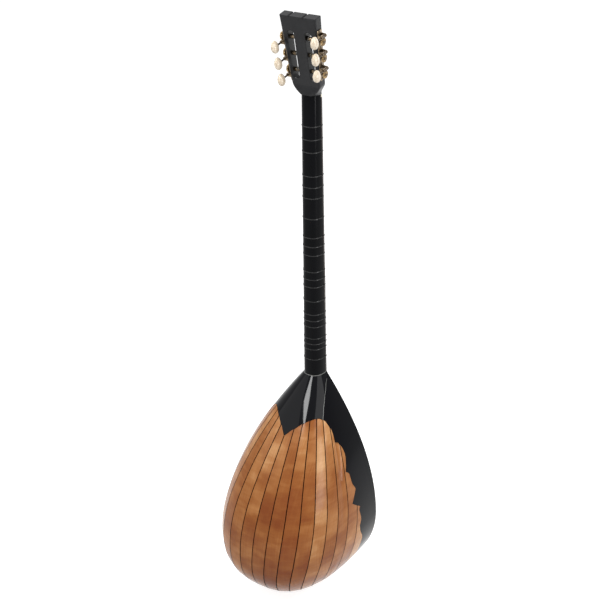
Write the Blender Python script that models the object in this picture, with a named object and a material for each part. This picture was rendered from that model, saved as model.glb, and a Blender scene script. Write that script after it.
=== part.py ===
"""Electro-acoustic saz: a long-necked lute with a bowl of staves, tied frets, a slotted head and worm gears.

Model frame: X across (bass side at -X), -Y to the soundboard's front, +Z up the neck, origin in the middle
of the neck where a wall hanger's fork takes the head's shoulders. Everything is first laid out from the
tail: height 0 is the tail's flat end, and y = 0 is the soundboard's front face, which is also the neck's.
"""
import math

import bmesh
import bpy
import numpy as np
from mathutils import Euler, Matrix, Vector

# Strings and main lengths
SCALE_LENGTH = 0.880
BOWL_LENGTH = 0.456
NECK_LENGTH = 0.545
FIT_GAP = 0.0003

# Bowl
BOWL_WIDTH = 0.270
BOWL_DEPTH = 0.2425
WIDEST_HEIGHT = 0.160
DEEPEST_HEIGHT = 0.130
WIDTH_SLOPE_AT_NECK = -0.769
DEPTH_SLOPE_AT_NECK = -1.105
TAIL_WIDTH_POWERS = (1.917, 1.990)
TAIL_DEPTH_POWERS = (2.047, 2.186)
TAIL_POWER = 2.49
BACK_POWER = 3.07
NECK_POWER = 2.62
FULL_BACK_HEIGHT = 0.200
SHOULDER_HEIGHT = 0.360
STAVES_PER_SIDE = 10
SEAM_GATHER = 0.433
GATHER_HEIGHT = 0.250
MAIN_STAVES = 7
STAVE_POINT_SHARE = 0.0065
GROOVE_DEPTH = 0.0008
HALF_JOINT = 0.00022
TOP_ROWS = 4
STATIONS_PER_SCALLOP = 4
FIRST_STATIONS = (0.30, 0.73)
STAVE_WALL = 0.0032
TAIL_CAP_HEIGHT = 0.003
TAIL_FLAT_SHARE = 0.70

# Black cap and panels on the bowl
CAP_PEAK_BELOW_JOINT = 0.059
CAP_TIP_DROP = 0.029
CAP_PEAK_STAVE = 4
CAP_CORNER_STAVE = 5
CUSP_SHARES = (0.630, 0.721, 0.748, 0.820, 0.863, 0.895, 0.895)
FIRST_CUSP_BELOW_JOINT = 0.104
SCALLOP_PITCH = 0.0643
SCALLOP_SHARE = 0.060
SCALLOP_FADE = 0.15
PANEL_TOP_BELOW_JOINT = 0.005
PANEL_TIP = 0.002
PANEL_LAST_SHARE = 0.993
CROSSING_STEP = 0.00025

# Soundboard and what is under it
TOP_THICKNESS = 0.004
BINDING_WIDTH = 0.002
LINING_WIDTH = 0.008
LINING_THICKNESS = 0.005
BRACE_HEIGHTS = (0.215, 0.300)
BRACE_SIZE = (0.006, 0.010)
NECK_BLOCK_LENGTH = 0.060
TAIL_BLOCK_LENGTH = 0.025
BLOCK_FIT = 0.97
SOUND_HOLE_RADIUS = 0.008
SOUND_HOLE_BACK = 0.112

# Neck, nut and frets
JOINT_WIDTH = 0.0414
JOINT_DEPTH = 0.0310
NUT_WIDTH = 0.0348
NUT_DEPTH = 0.0240
NUT_THICKNESS = 0.0047
NUT_RISE = 0.00145
NUT_CROWN = 0.55
FRET_WIDTH = 0.0018
FRET_THICKNESS = 0.0009
FRET_SEMITONES = (1, 1.5, 2, 3, 3.5, 4, 5, 6, 6.5, 7, 8, 8.5, 9, 10, 11, 11.5, 12, 13, 13.5, 14, 15)

# Head
HEAD_TILT = math.radians(11.0)
HEAD_LENGTH = 0.150
HEAD_DROP = 0.0020
HEAD_THICKNESS = 0.0174
HEAD_TOP_WIDTH = 0.0714
HEAD_LOW_WIDTH = 0.0562
HEAD_FLARE_END = 0.029
HEAD_CHAMFER = 0.0015
SLOT_INNER = 0.0108
SLOT_OUTER = 0.0235
SLOT_ENDS = (0.038, 0.124)
RAMP_START = 0.020
RAMP_DEPTH = 0.0065
NOTCH_PLACES = (-0.0104, 0.0172)
NOTCH_WIDTH = 0.0042
NOTCH_DEPTH = 0.0030

# Tuners
TUNER_PITCH = 0.0295
MIDDLE_ROLLER_UP = 0.0795
ROLLER_BACK = 0.0087
ROLLER_RADIUS = 0.0036
ROLLER_SEAT = 0.0035
JOURNAL_RADIUS = 0.0022
SPIGOT_RADIUS = 0.0014
GEAR_MODULE = 0.0009
GEAR_TEETH = 14
GEAR_THICKNESS = 0.0030
WORM_OFFSET = 0.0092
WORM_STANDOFF = 0.0073
WORM_LENGTH = 0.0098
TOOTH_DEPTH = 0.0012
SHAFT_RADIUS = 0.0016
PLATE_THICKNESS = 0.0012
PLATE_WIDTH = 0.0136
EAR_THICKNESS = 0.0015
EAR_RADIUS = 0.0032
BUTTON_BACK = 0.0264
BUTTON_SIZE = (0.012, 0.015, 0.022)
BUTTON_NARROWING = 0.22

# Strings, bridge and tail
STRING_RADIUS = 0.00025
PAIR_SPACING_AT_NUT = 0.011
PAIR_SPACING_AT_BRIDGE = 0.020
PAIR_SPACING_AT_TAIL = 0.0085
PAIR_HALF_GAP = 0.0012
SLOT_EDGE_SHARE = 0.6
WINDING_TURNS = 2.5
WINDING_PITCH = 0.00095
BRIDGE_WIDTH = 0.068
BRIDGE_THICKNESS = 0.004
BRIDGE_RISE = 0.0105
SADDLE_RISE = 0.003
HOLDER_THICKNESS = 0.0015
HOLDER_BACK = 0.016
POST_RADIUS = 0.0008
POST_LENGTH = 0.0028

# Pickup and output jack
JACK_CUSP = 3
JACK_BACK = 0.040
JACK_BORE_RADIUS = 0.0033
JACK_BARREL_RADIUS = 0.0047
JACK_BODY_RADIUS = 0.0075
JACK_BODY_LENGTH = 0.020
JACK_FLANGE_GAP = 0.0012
JACK_PROUD = 0.0045
JACK_FLOOR = 0.003
JACK_NUT_ACROSS = 0.013
JACK_NUT_THICKNESS = 0.0024
JACK_NUT_SEAT = 0.0004
PICKUP_X = 0.020
PICKUP_RADIUS = 0.010
PICKUP_THICKNESS = 0.0012
CABLE_RADIUS = 0.00125

# Places that follow
NUT_HEIGHT = BOWL_LENGTH + NECK_LENGTH
BRIDGE_HEIGHT = NUT_HEIGHT - SCALE_LENGTH
HANGER_HEIGHT = NUT_HEIGHT + 0.010
HANGER_BACK = NUT_DEPTH / 2
CAP_PEAK_HEIGHT = BOWL_LENGTH - CAP_PEAK_BELOW_JOINT
FIRST_CUSP_SHARE = CUSP_SHARES[0]
FIRST_CUSP_HEIGHT = BOWL_LENGTH - FIRST_CUSP_BELOW_JOINT
PANEL_TOP_HEIGHT = BOWL_LENGTH - PANEL_TOP_BELOW_JOINT
JACK_HEIGHT = FIRST_CUSP_HEIGHT - JACK_CUSP * SCALLOP_PITCH
RIM = TOP_THICKNESS + FIT_GAP
STAVE_SHARE = 1 / STAVES_PER_SIDE
GEAR_RADIUS = GEAR_MODULE * GEAR_TEETH / 2
WORM_RADIUS = WORM_OFFSET - GEAR_RADIUS
WORM_LEAD = math.pi * GEAR_MODULE
GEAR_BACK = WORM_STANDOFF - GEAR_THICKNESS / 2
STRING_REST = STRING_RADIUS + FIT_GAP
HEAD_TAPER = math.atan2((HEAD_TOP_WIDTH - HEAD_LOW_WIDTH) / 2, HEAD_LENGTH - HEAD_FLARE_END)
SIDES = {"bass": -1, "treble": 1}


def clear_scene():
    for old in list(bpy.data.objects):
        bpy.data.objects.remove(old, do_unlink=True)


def material(name, color, roughness, metallic=0.0):
    made = bpy.data.materials.new(name)
    made.use_nodes = True
    shader = made.node_tree.nodes["Principled BSDF"]
    shader.inputs["Base Color"].default_value = (*color, 1.0)
    shader.inputs["Roughness"].default_value = roughness
    shader.inputs["Metallic"].default_value = metallic
    return made


def add_empty(name, location, rotation=(0.0, 0.0, 0.0), parent=None):
    made = bpy.data.objects.new(name, None)
    bpy.context.collection.objects.link(made)
    made.location = location
    made.rotation_euler = rotation
    made.parent = parent
    return made


def add_object(name, mesh, finish, parent, location=(0.0, 0.0, 0.0)):
    mesh.materials.append(finish)
    made = bpy.data.objects.new(name, mesh)
    bpy.context.collection.objects.link(made)
    made.location = location
    made.parent = parent
    mesh.shade_smooth()
    mesh.set_sharp_from_angle(angle=math.radians(35))
    return made


def mesh_from(bm, name):
    bmesh.ops.recalc_face_normals(bm, faces=bm.faces)
    mesh = bpy.data.meshes.new(name)
    bm.to_mesh(mesh)
    bm.free()
    return mesh


def smoothstep(low, high, value):
    share = min(1.0, max(0.0, (value - low) / (high - low)))
    return share * share * (3 - 2 * share)


# Shared mesh forms

def add_loft(bm, rings, closed_ends=True):
    """Joins rings of points in order; each ring is a closed outline with the same number of points."""
    loops = [[bm.verts.new(point) for point in ring] for ring in rings]
    count = len(loops[0])
    for lower, upper in zip(loops, loops[1:]):
        for i in range(count):
            j = (i + 1) % count
            bm.faces.new((lower[i], lower[j], upper[j], upper[i]))
    if closed_ends:
        bm.faces.new(reversed(loops[0]))
        bm.faces.new(loops[-1])
    else:
        for i in range(count):
            j = (i + 1) % count
            bm.faces.new((loops[-1][i], loops[-1][j], loops[0][j], loops[0][i]))


def bridge_edges(bm, first, second):
    """Triangles between two rows of points, always across the shorter diagonal."""
    i, j = 0, 0
    while i < len(first) - 1 or j < len(second) - 1:
        step_first = (first[i + 1].co - second[j].co).length if i < len(first) - 1 else math.inf
        step_second = (first[i].co - second[j + 1].co).length if j < len(second) - 1 else math.inf
        if step_first <= step_second:
            bm.faces.new((first[i], second[j], first[i + 1]))
            i += 1
        else:
            bm.faces.new((first[i], second[j], second[j + 1]))
            j += 1


def add_slab(bm, face, back):
    """A closed solid between two grids of points, which have the same rows but may differ in columns."""
    top = [[bm.verts.new(point) for point in row] for row in face]
    low = [[bm.verts.new(point) for point in row] for row in back]
    for grid, turned in ((top, False), (low, True)):
        for lower, upper in zip(grid, grid[1:]):
            for j in range(len(lower) - 1):
                corners = (lower[j], lower[j + 1], upper[j + 1], upper[j])
                bm.faces.new(reversed(corners) if turned else corners)
    for i in range(len(top) - 1):
        bm.faces.new((top[i][0], top[i + 1][0], low[i + 1][0], low[i][0]))
        bm.faces.new((top[i][-1], low[i][-1], low[i + 1][-1], top[i + 1][-1]))
    bridge_edges(bm, top[0], low[0])
    bridge_edges(bm, low[-1], top[-1])


def add_turned(bm, profile, segments, axis="X", centre=(0.0, 0.0, 0.0)):
    """Turns (along, radius) points about an axis; a radius of 0 at an end is a single point."""
    place = {
        "X": lambda along, c, s: Vector((along, c, s)),
        "Y": lambda along, c, s: Vector((s, along, c)),
        "Z": lambda along, c, s: Vector((c, s, along)),
    }[axis]
    rings = []
    for along, radius in profile:
        if radius == 0:
            rings.append([bm.verts.new(place(along, 0.0, 0.0) + Vector(centre))])
            continue
        ring = []
        for i in range(segments):
            turn = 2 * math.pi * i / segments
            point = place(along, radius * math.cos(turn), radius * math.sin(turn))
            ring.append(bm.verts.new(point + Vector(centre)))
        rings.append(ring)
    for lower, upper in zip(rings, rings[1:]):
        for i in range(segments):
            j = (i + 1) % segments
            if len(lower) == 1:
                bm.faces.new((lower[0], upper[j], upper[i]))
            elif len(upper) == 1:
                bm.faces.new((lower[i], lower[j], upper[0]))
            else:
                bm.faces.new((lower[i], lower[j], upper[j], upper[i]))


def add_box(bm, low, high):
    corners = ((low[0], low[1]), (high[0], low[1]), (high[0], high[1]), (low[0], high[1]))
    add_loft(bm, [[(x, y, z) for x, y in corners] for z in (low[2], high[2])])


def add_cutter(name, bm, parent):
    cutter = bpy.data.objects.new(name, mesh_from(bm, name))
    bpy.context.collection.objects.link(cutter)
    cutter.parent = parent
    cutter.hide_render = True
    cutter.display_type = "WIRE"
    return cutter


def cut(target, cutter, operation="DIFFERENCE"):
    step = target.modifiers.new(cutter.name, "BOOLEAN")
    step.operation = operation
    step.object = cutter


# The bowl's surface, as height above the tail and share of the arc from the back's centre line to the rim

def tail_curve(height, full, top, powers):
    share = max(0.0, (top - height) / top)
    return full * max(1e-9, 1 - share ** powers[0]) ** (1 / powers[1])


def shoulder_curve(height, full, top, end, slope):
    span = BOWL_LENGTH - top
    t = min(1.0, max(0.0, (height - top) / span))
    return ((2 * t**3 - 3 * t**2 + 1) * full + (3 * t**2 - 2 * t**3) * end + (t**3 - t**2) * slope * span)


def half_width(height):
    if height < WIDEST_HEIGHT:
        return tail_curve(height, BOWL_WIDTH / 2, WIDEST_HEIGHT, TAIL_WIDTH_POWERS)
    return shoulder_curve(height, BOWL_WIDTH / 2, WIDEST_HEIGHT, JOINT_WIDTH / 2, WIDTH_SLOPE_AT_NECK)


def depth(height):
    if height < DEEPEST_HEIGHT:
        return tail_curve(height, BOWL_DEPTH, DEEPEST_HEIGHT, TAIL_DEPTH_POWERS)
    return shoulder_curve(height, BOWL_DEPTH, DEEPEST_HEIGHT, JOINT_DEPTH, DEPTH_SLOPE_AT_NECK)


def section_power(height):
    """How square the cross-section is: round at the tail, fuller in the back, the neck's own at the joint."""
    power = TAIL_POWER + (BACK_POWER - TAIL_POWER) * smoothstep(0.0, FULL_BACK_HEIGHT, height)
    return power + (NECK_POWER - BACK_POWER) * smoothstep(SHOULDER_HEIGHT, BOWL_LENGTH, height)


SECTION_CACHE = {}


def section(height):
    """Points of one cross-section from the treble rim to the bass rim, their shares, and half its arc."""
    key = round(height, 7)
    if key not in SECTION_CACHE:
        wide, deep, power = half_width(height), depth(height), section_power(height)
        start = math.asin(min(1.0, (RIM / deep) ** (power / 2)))
        turn = np.linspace(start, math.pi - start, 1201)
        cosine, sine = np.cos(turn), np.sin(turn)
        x = wide * np.sign(cosine) * np.abs(cosine) ** (2 / power)
        y = deep * sine ** (2 / power)
        arc = np.concatenate([[0.0], np.cumsum(np.hypot(np.diff(x), np.diff(y)))])
        SECTION_CACHE[key] = (x, y, 1 - 2 * arc / arc[-1], arc[-1] / 2)
    return SECTION_CACHE[key]


def half_arc(height):
    return section(height)[3]


def surface_point(height, share):
    x, y, shares, _ = section(height)
    return Vector((np.interp(-share, -shares, x), np.interp(-share, -shares, y), height))


def bowl_point(height, share, inward=0.0):
    """A point of the bowl's outer surface, moved inward along the normal."""
    point = surface_point(height, share)
    if inward == 0:
        return point
    step = 0.0004
    side = 0.004
    low, high = max(-1.0, share - side), min(1.0, share + side)
    across = surface_point(height, high) - surface_point(height, low)
    along = surface_point(height + step, share) - surface_point(height - step, share)
    normal = across.cross(along).normalized()
    middle = Vector((0.0, 0.4 * depth(height), WIDEST_HEIGHT))
    if normal.dot(point - middle) < 0:
        normal = -normal
    return point - normal * inward


def seam_share(nominal, height):
    """A stave's edge at a height: evenly shared higher up, and drawn in to the centre line near the tail."""
    way = max(0.0, 1 - height / GATHER_HEIGHT)
    return nominal * (1 - SEAM_GATHER * way**1.5 * (1 - nominal**2))


# Where the black cap and panels meet the staves

def cusp_share(index):
    return CUSP_SHARES[min(index, len(CUSP_SHARES) - 1)]


def scallop_share(height):
    """The side panel's edge below its first cusp: ever flatter scallops between cusps that near the rim."""
    index = max(0, math.floor((FIRST_CUSP_HEIGHT - height) / SCALLOP_PITCH))
    way = (FIRST_CUSP_HEIGHT - height) / SCALLOP_PITCH - index
    chord = cusp_share(index) * (1 - way) + cusp_share(index + 1) * way
    bulge = SCALLOP_SHARE * max(0.0, 1 - SCALLOP_FADE * index)
    return min(chord + bulge * math.sqrt(max(0.0, 1 - (2 * way - 1) ** 2)), CUSP_SHARES[-1])


def crossing_height(stave, beyond=0.0):
    """Height above which the panel's edge never again lies further out than this stave's upper edge."""
    nominal = stave * STAVE_SHARE
    height = TAIL_CAP_HEIGHT
    while height < FIRST_CUSP_HEIGHT and scallop_share(height) > seam_share(nominal, height) + beyond:
        height += CROSSING_STEP
    return height


MID_CROSSING = crossing_height(8)
HIGH_CROSSING = crossing_height(7)
MID_POINT = crossing_height(8, STAVE_POINT_SHARE)
HIGH_POINT = crossing_height(7, STAVE_POINT_SHARE)


def panel_share(height):
    share = scallop_share(height)
    return min(share, seam_share(8 * STAVE_SHARE, height)) if height >= MID_CROSSING else share


def stave_top(share):
    """Height at which the wood ends under the cap and the upper part of the panels."""
    peak = CAP_PEAK_STAVE * STAVE_SHARE
    if share <= peak:
        return CAP_PEAK_HEIGHT - CAP_TIP_DROP * (1 - share / peak) ** 2
    if share <= FIRST_CUSP_SHARE:
        way = (share - peak) / (FIRST_CUSP_SHARE - peak)
        return FIRST_CUSP_HEIGHT + (CAP_PEAK_HEIGHT - FIRST_CUSP_HEIGHT) * math.sqrt(1 - way * way)
    way = (share - FIRST_CUSP_SHARE) / (7 * STAVE_SHARE - FIRST_CUSP_SHARE)
    return FIRST_CUSP_HEIGHT + (HIGH_CROSSING - FIRST_CUSP_HEIGHT) * way


CAP_CORNER_SHARE = CAP_CORNER_STAVE * STAVE_SHARE
CAP_CORNER_HEIGHT = stave_top(CAP_CORNER_SHARE)


def cap_share(height):
    """Edge between the cap and a side panel: straight tapers, until the cap takes the whole back."""
    low = CAP_CORNER_SHARE * half_arc(CAP_CORNER_HEIGHT)
    high = half_arc(PANEL_TOP_HEIGHT)
    way = (height - CAP_CORNER_HEIGHT) / (PANEL_TOP_HEIGHT - CAP_CORNER_HEIGHT)
    return min(1.0, (low + (high - low) * way) / half_arc(height))


def bowl_stations():
    """Heights shared by all staves and panels below the first cusp, so that neighbours' facets match."""
    step = SCALLOP_PITCH / STATIONS_PER_SCALLOP
    lowest = TAIL_CAP_HEIGHT + FIT_GAP
    heights = [lowest] + [lowest + step * share for share in FIRST_STATIONS]
    count = int((FIRST_CUSP_HEIGHT - lowest) / step - 1)
    heights += [FIRST_CUSP_HEIGHT - step * i for i in range(count, 0, -1)]
    heights += [MID_CROSSING, MID_POINT, HIGH_POINT]
    return sorted(heights)


STATIONS = bowl_stations()


def side_gap(height):
    """Half of the joint between two neighbours, as a share of the arc."""
    return HALF_JOINT / half_arc(height)


def shell_slab(bm, rows, side=1, outer=0.0, inner=STAVE_WALL, inner_rows=None):
    """A piece of the shell from rows of (height, share) or (height, share, extra depth of the outer face)."""
    face = [[bowl_point(p[0], side * p[1], outer + sum(p[2:])) for p in row] for row in rows]
    back = [[bowl_point(p[0], side * p[1], inner) for p in row] for row in inner_rows or rows]
    add_slab(bm, face, back)


def main_stave_rows():
    """The staves that run up to the cap, glued edge to edge, with a fine groove at each joint."""
    edges = []
    for index in range(MAIN_STAVES):
        low_share, high_share = index * STAVE_SHARE, (index + 1) * STAVE_SHARE
        edges.append((low_share, 1, 0.0))
        if low_share < FIRST_CUSP_SHARE < high_share:
            edges.append((FIRST_CUSP_SHARE, 0, 0.0))
        edges.append((high_share, -1, 0.0))
        edges.append((high_share, 0, GROOVE_DEPTH))
    edges.pop()
    inner_edges = [edges[0]] + [edge for edge in edges if edge[1] == 0] + [edges[-1]]
    inner_edges = [(share, gap_side, 0.0) for share, gap_side, groove in inner_edges]
    base = STATIONS[-1]
    levels = [(height, None) for height in STATIONS]
    levels += [(base, way / TOP_ROWS) for way in range(1, TOP_ROWS + 1)]
    grids = []
    for columns in (edges, inner_edges):
        rows = []
        for height, way in levels:
            row = []
            for share, gap_side, groove in columns:
                z = height if way is None else base + (stave_top(share) - HALF_JOINT - base) * way
                row.append((z, seam_share(share, z) + gap_side * side_gap(z), groove))
            rows.append(row)
        grids.append(rows)
    return grids


def short_stave_rows(index, limit):
    """A stave beside the panel, which ends in a point where the panel's edge crosses it."""
    rows = []
    for height in [h for h in STATIONS if h <= limit]:
        low, high = (seam_share(stave * STAVE_SHARE, height) for stave in (index, index + 1))
        edge = min(high, panel_share(height)) if index < MAIN_STAVES + 1 else panel_share(height)
        rows.append([(height, low + side_gap(height)), (height, edge - side_gap(height))])
    return rows


def add_staves(parent, finishes):
    """Wooden staves: on each side seven glued ones up to the cap, and two short ones beside the panel."""
    for side_name, side in SIDES.items():
        pieces = {
            f"staves_{side_name}_1_to_7": main_stave_rows(),
            f"stave_{side_name}_8": [short_stave_rows(7, HIGH_POINT)] * 2,
            f"stave_{side_name}_9": [short_stave_rows(8, MID_POINT)] * 2,
        }
        for name, (rows, inner_rows) in pieces.items():
            bm = bmesh.new()
            shell_slab(bm, rows, side, inner_rows=inner_rows)
            staves = add_object(name, mesh_from(bm, name), finishes["stave"], parent)
            if rows[0][0][1] < STAVE_SHARE:
                hole = bmesh.new()
                low, high, radius = -0.010, 0.060, SOUND_HOLE_RADIUS
                add_turned(hole, ((low, 0), (low, radius), (high, radius), (high, 0)), 16, "Z",
                           (0.0, SOUND_HOLE_BACK, 0.0))
                cut(staves, add_cutter(f"cutter_sound_hole_{side_name}", hole, parent))


def side_panel_rows():
    rows = []
    for height in STATIONS + [HIGH_CROSSING, FIRST_CUSP_HEIGHT]:
        if height < HIGH_CROSSING:
            edge = panel_share(height)
        else:
            edge = 7 * STAVE_SHARE if height < FIRST_CUSP_HEIGHT else FIRST_CUSP_SHARE
        rows.append((height, edge))
    rows.append((stave_top(6 * STAVE_SHARE), 6 * STAVE_SHARE))
    for i in range(5):
        height = CAP_CORNER_HEIGHT + (PANEL_TOP_HEIGHT - CAP_CORNER_HEIGHT) * i / 4
        height = min(height, PANEL_TOP_HEIGHT - PANEL_TIP)
        rows.append((height, cap_share(height)))
    grid = []
    for height, edge in rows:
        edge = min(edge + side_gap(height), PANEL_LAST_SHARE)
        grid.append([(height, edge + (1 - edge) * j / 3) for j in range(4)])
    return grid


def add_panels(parent, finishes):
    for side_name, side in SIDES.items():
        bm = bmesh.new()
        shell_slab(bm, side_panel_rows(), side)
        name = f"side_panel_{side_name}"
        panel = add_object(name, mesh_from(bm, name), finishes["black"], parent)
        if side_name == "treble":
            hole = bmesh.new()
            reach = BOWL_WIDTH / 2
            add_turned(hole, ((reach - 0.02, 0), (reach - 0.02, JACK_BARREL_RADIUS + FIT_GAP),
                              (reach + 0.02, JACK_BARREL_RADIUS + FIT_GAP), (reach + 0.02, 0)), 16, "X",
                       (0.0, JACK_BACK, JACK_HEIGHT))
            cut(panel, add_cutter("cutter_jack_hole", hole, parent))


def add_heel_cap(parent, finishes):
    """The cap over the neck joint: an ogee tip on the back's centre line, then a taper up to the neck."""
    shares = [i * STAVE_SHARE for i in range(-CAP_CORNER_STAVE, CAP_CORNER_STAVE + 1)]
    top = BOWL_LENGTH - FIT_GAP / 2
    span = top - CAP_CORNER_HEIGHT
    edge_heights = [CAP_CORNER_HEIGHT + (PANEL_TOP_HEIGHT - CAP_CORNER_HEIGHT) * i / 4 for i in range(5)]
    edge_heights += [(PANEL_TOP_HEIGHT + top) / 2, top]
    rows = []
    for edge_height in edge_heights:
        way = (edge_height - CAP_CORNER_HEIGHT) / span
        reach = cap_share(edge_height)
        if reach < 1:
            reach -= side_gap(edge_height)
        row = []
        for share in shares:
            low = stave_top(abs(share)) + HALF_JOINT
            row.append((low + (top - low) * way, reach * share / CAP_CORNER_SHARE))
        rows.append(row)
    bm = bmesh.new()
    shell_slab(bm, rows)
    add_object("heel_cap", mesh_from(bm, "heel_cap"), finishes["black"], parent)


def add_tail_cap(parent, finishes):
    """Flat end of the bowl, where the staves run together."""
    shares = [i / STAVES_PER_SIDE for i in range(-STAVES_PER_SIDE, STAVES_PER_SIDE + 1)]
    wide = [bowl_point(TAIL_CAP_HEIGHT, share) for share in shares]
    ends = []
    for point in wide:
        ends.append((point.x * TAIL_FLAT_SHARE, RIM + (point.y - RIM) * TAIL_FLAT_SHARE, 0.0))
    bm = bmesh.new()
    add_loft(bm, [ends, wide])
    add_object("tail_cap", mesh_from(bm, "tail_cap"), finishes["black"], parent)


# Soundboard, binding, linings, blocks

def board_outline(inset):
    """Half outline of the soundboard from the tail to the neck joint, moved in from the bowl's edge."""
    tail_reach = half_width(TAIL_CAP_HEIGHT)
    points = [(tail_reach * TAIL_FLAT_SHARE, 0.0), (tail_reach, TAIL_CAP_HEIGHT)]
    steps = 9
    for i in range(1, steps + 1):
        height = WIDEST_HEIGHT * (1 - math.cos(math.pi / 2 * i / steps))
        if height > TAIL_CAP_HEIGHT * 2:
            points.append((half_width(height), height))
    steps = 10
    for i in range(1, steps + 1):
        height = WIDEST_HEIGHT + (BOWL_LENGTH - WIDEST_HEIGHT) * i / steps
        points.append((half_width(height), height))
    moved = []
    for i, (x, z) in enumerate(points):
        before, after = points[max(0, i - 1)], points[min(len(points) - 1, i + 1)]
        along = Vector((after[0] - before[0], after[1] - before[1])).normalized()
        moved.append((x - along.y * inset, z + along.x * inset))
    moved[0] = (points[0][0], inset)
    end_x = moved[-1][0]
    moved[-1] = (end_x, BOWL_LENGTH)
    return moved


def full_outline(inset):
    right = board_outline(inset)
    return [(x, z) for x, z in right] + [(-x, z) for x, z in reversed(right)]


def add_soundboard(parent, finishes):
    bm = bmesh.new()
    outline = full_outline(BINDING_WIDTH + FIT_GAP)
    add_loft(bm, [[(x, y, z) for x, z in outline] for y in (0.0, TOP_THICKNESS)])
    board = add_object("soundboard", mesh_from(bm, "soundboard"), finishes["spruce"], parent)
    cut(board, add_brace_solids(parent), "UNION")


def add_binding(parent, finishes):
    outer, inner = board_outline(0.0), board_outline(BINDING_WIDTH)
    outer = outer[::-1] + [(-x, z) for x, z in outer]
    inner = inner[::-1] + [(-x, z) for x, z in inner]
    bm = bmesh.new()
    add_slab(bm, [[(x, 0.0, z) for x, z in outer], [(x, TOP_THICKNESS, z) for x, z in outer]],
             [[(x, 0.0, z) for x, z in inner], [(x, TOP_THICKNESS, z) for x, z in inner]])
    add_object("edge_binding", mesh_from(bm, "edge_binding"), finishes["black"], parent)


def add_linings(parent, finishes):
    start = STAVE_WALL + FIT_GAP
    foot = TAIL_CAP_HEIGHT + TAIL_BLOCK_LENGTH + 2 * FIT_GAP
    top = BOWL_LENGTH - NECK_BLOCK_LENGTH - 2 * FIT_GAP
    low, high = foot + LINING_WIDTH, top - LINING_WIDTH
    heights = [foot] + [height for height in STATIONS + [FIRST_CUSP_HEIGHT] if low < height < high] + [top]
    for side_name, side in SIDES.items():
        rows = []
        for height in heights:
            rows.append([(height, 1 - LINING_WIDTH / half_arc(height)), (height, 1.0)])
        bm = bmesh.new()
        shell_slab(bm, rows, side, start, start + LINING_THICKNESS)
        name = f"rim_lining_{side_name}"
        add_object(name, mesh_from(bm, name), finishes["pale_wood"], parent)


def add_brace_solids(parent):
    """Two bars glued across the inside of the soundboard."""
    bm = bmesh.new()
    foot = TOP_THICKNESS * 0.75
    thick, tall = BRACE_SIZE
    for height in BRACE_HEIGHTS:
        reach = half_width(height) - (STAVE_WALL + LINING_THICKNESS) * 1.25 - 2 * FIT_GAP
        profile = [(-reach, foot), (reach, foot), (reach, foot + tall * 0.4), (reach * 0.75, foot + tall),
                   (-reach * 0.75, foot + tall), (-reach, foot + tall * 0.4)]
        add_loft(bm, [[(x, y, height + end * thick / 2) for x, y in profile] for end in (-1, 1)])
    return add_cutter("cutter_braces", bm, parent)


def hollow_ring(height, share):
    """Outline of the space inside the shell at a height, open at the soundboard's back."""
    step = 0.0005
    sizes = []
    for size in (half_width, depth):
        slope = (size(height) - size(height - step)) / step
        sizes.append(size(height) - (STAVE_WALL + 2 * FIT_GAP) * math.hypot(1, slope))
    wide, deep, power = sizes[0] * share, sizes[1] * share, section_power(height)
    start = math.asin((RIM / deep) ** (power / 2))
    ring = []
    for i in range(13):
        turn = start + (math.pi - 2 * start) * i / 12
        x = wide * math.copysign(abs(math.cos(turn)) ** (2 / power), math.cos(turn))
        ring.append((x, deep * math.sin(turn) ** (2 / power), height))
    return ring


def add_blocks(parent, finishes):
    """Wooden blocks inside the two ends of the bowl, which carry the tail cap and the neck."""
    bm = bmesh.new()
    low = TAIL_CAP_HEIGHT + FIT_GAP
    ring = hollow_ring(low, BLOCK_FIT)
    add_loft(bm, [[(x, y, height) for x, y, _ in ring] for height in (low, low + TAIL_BLOCK_LENGTH)])
    add_object("tail_block", mesh_from(bm, "tail_block"), finishes["pale_wood"], parent)
    bm = bmesh.new()
    top = BOWL_LENGTH - FIT_GAP / 2
    add_loft(bm, [hollow_ring(top - NECK_BLOCK_LENGTH * (3 - i) / 3, BLOCK_FIT) for i in range(4)])
    add_object("neck_block", mesh_from(bm, "neck_block"), finishes["pale_wood"], parent)


# Neck, fingerboard, nut and frets

def neck_size(height):
    """Half width and depth of the neck at a height."""
    way = (height - BOWL_LENGTH) / NECK_LENGTH
    return (JOINT_WIDTH + (NUT_WIDTH - JOINT_WIDTH) * way) / 2, JOINT_DEPTH + (NUT_DEPTH - JOINT_DEPTH) * way


def neck_ring(height, front, count=10, grow=0.0):
    """Outline of the neck behind a front line, from the treble edge round the back to the bass edge."""
    wide, deep = neck_size(height)
    wide, deep = wide + grow, deep + grow
    start = math.asin(max(0.0, front / deep) ** (NECK_POWER / 2))
    ring = []
    for i in range(count):
        turn = start + (math.pi - 2 * start) * i / (count - 1)
        x = wide * math.copysign(abs(math.cos(turn)) ** (2 / NECK_POWER), math.cos(turn))
        ring.append((x, deep * math.sin(turn) ** (2 / NECK_POWER), height))
    ring[0] = (ring[0][0], front, height)
    ring[-1] = (ring[-1][0], front, height)
    return ring


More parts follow.
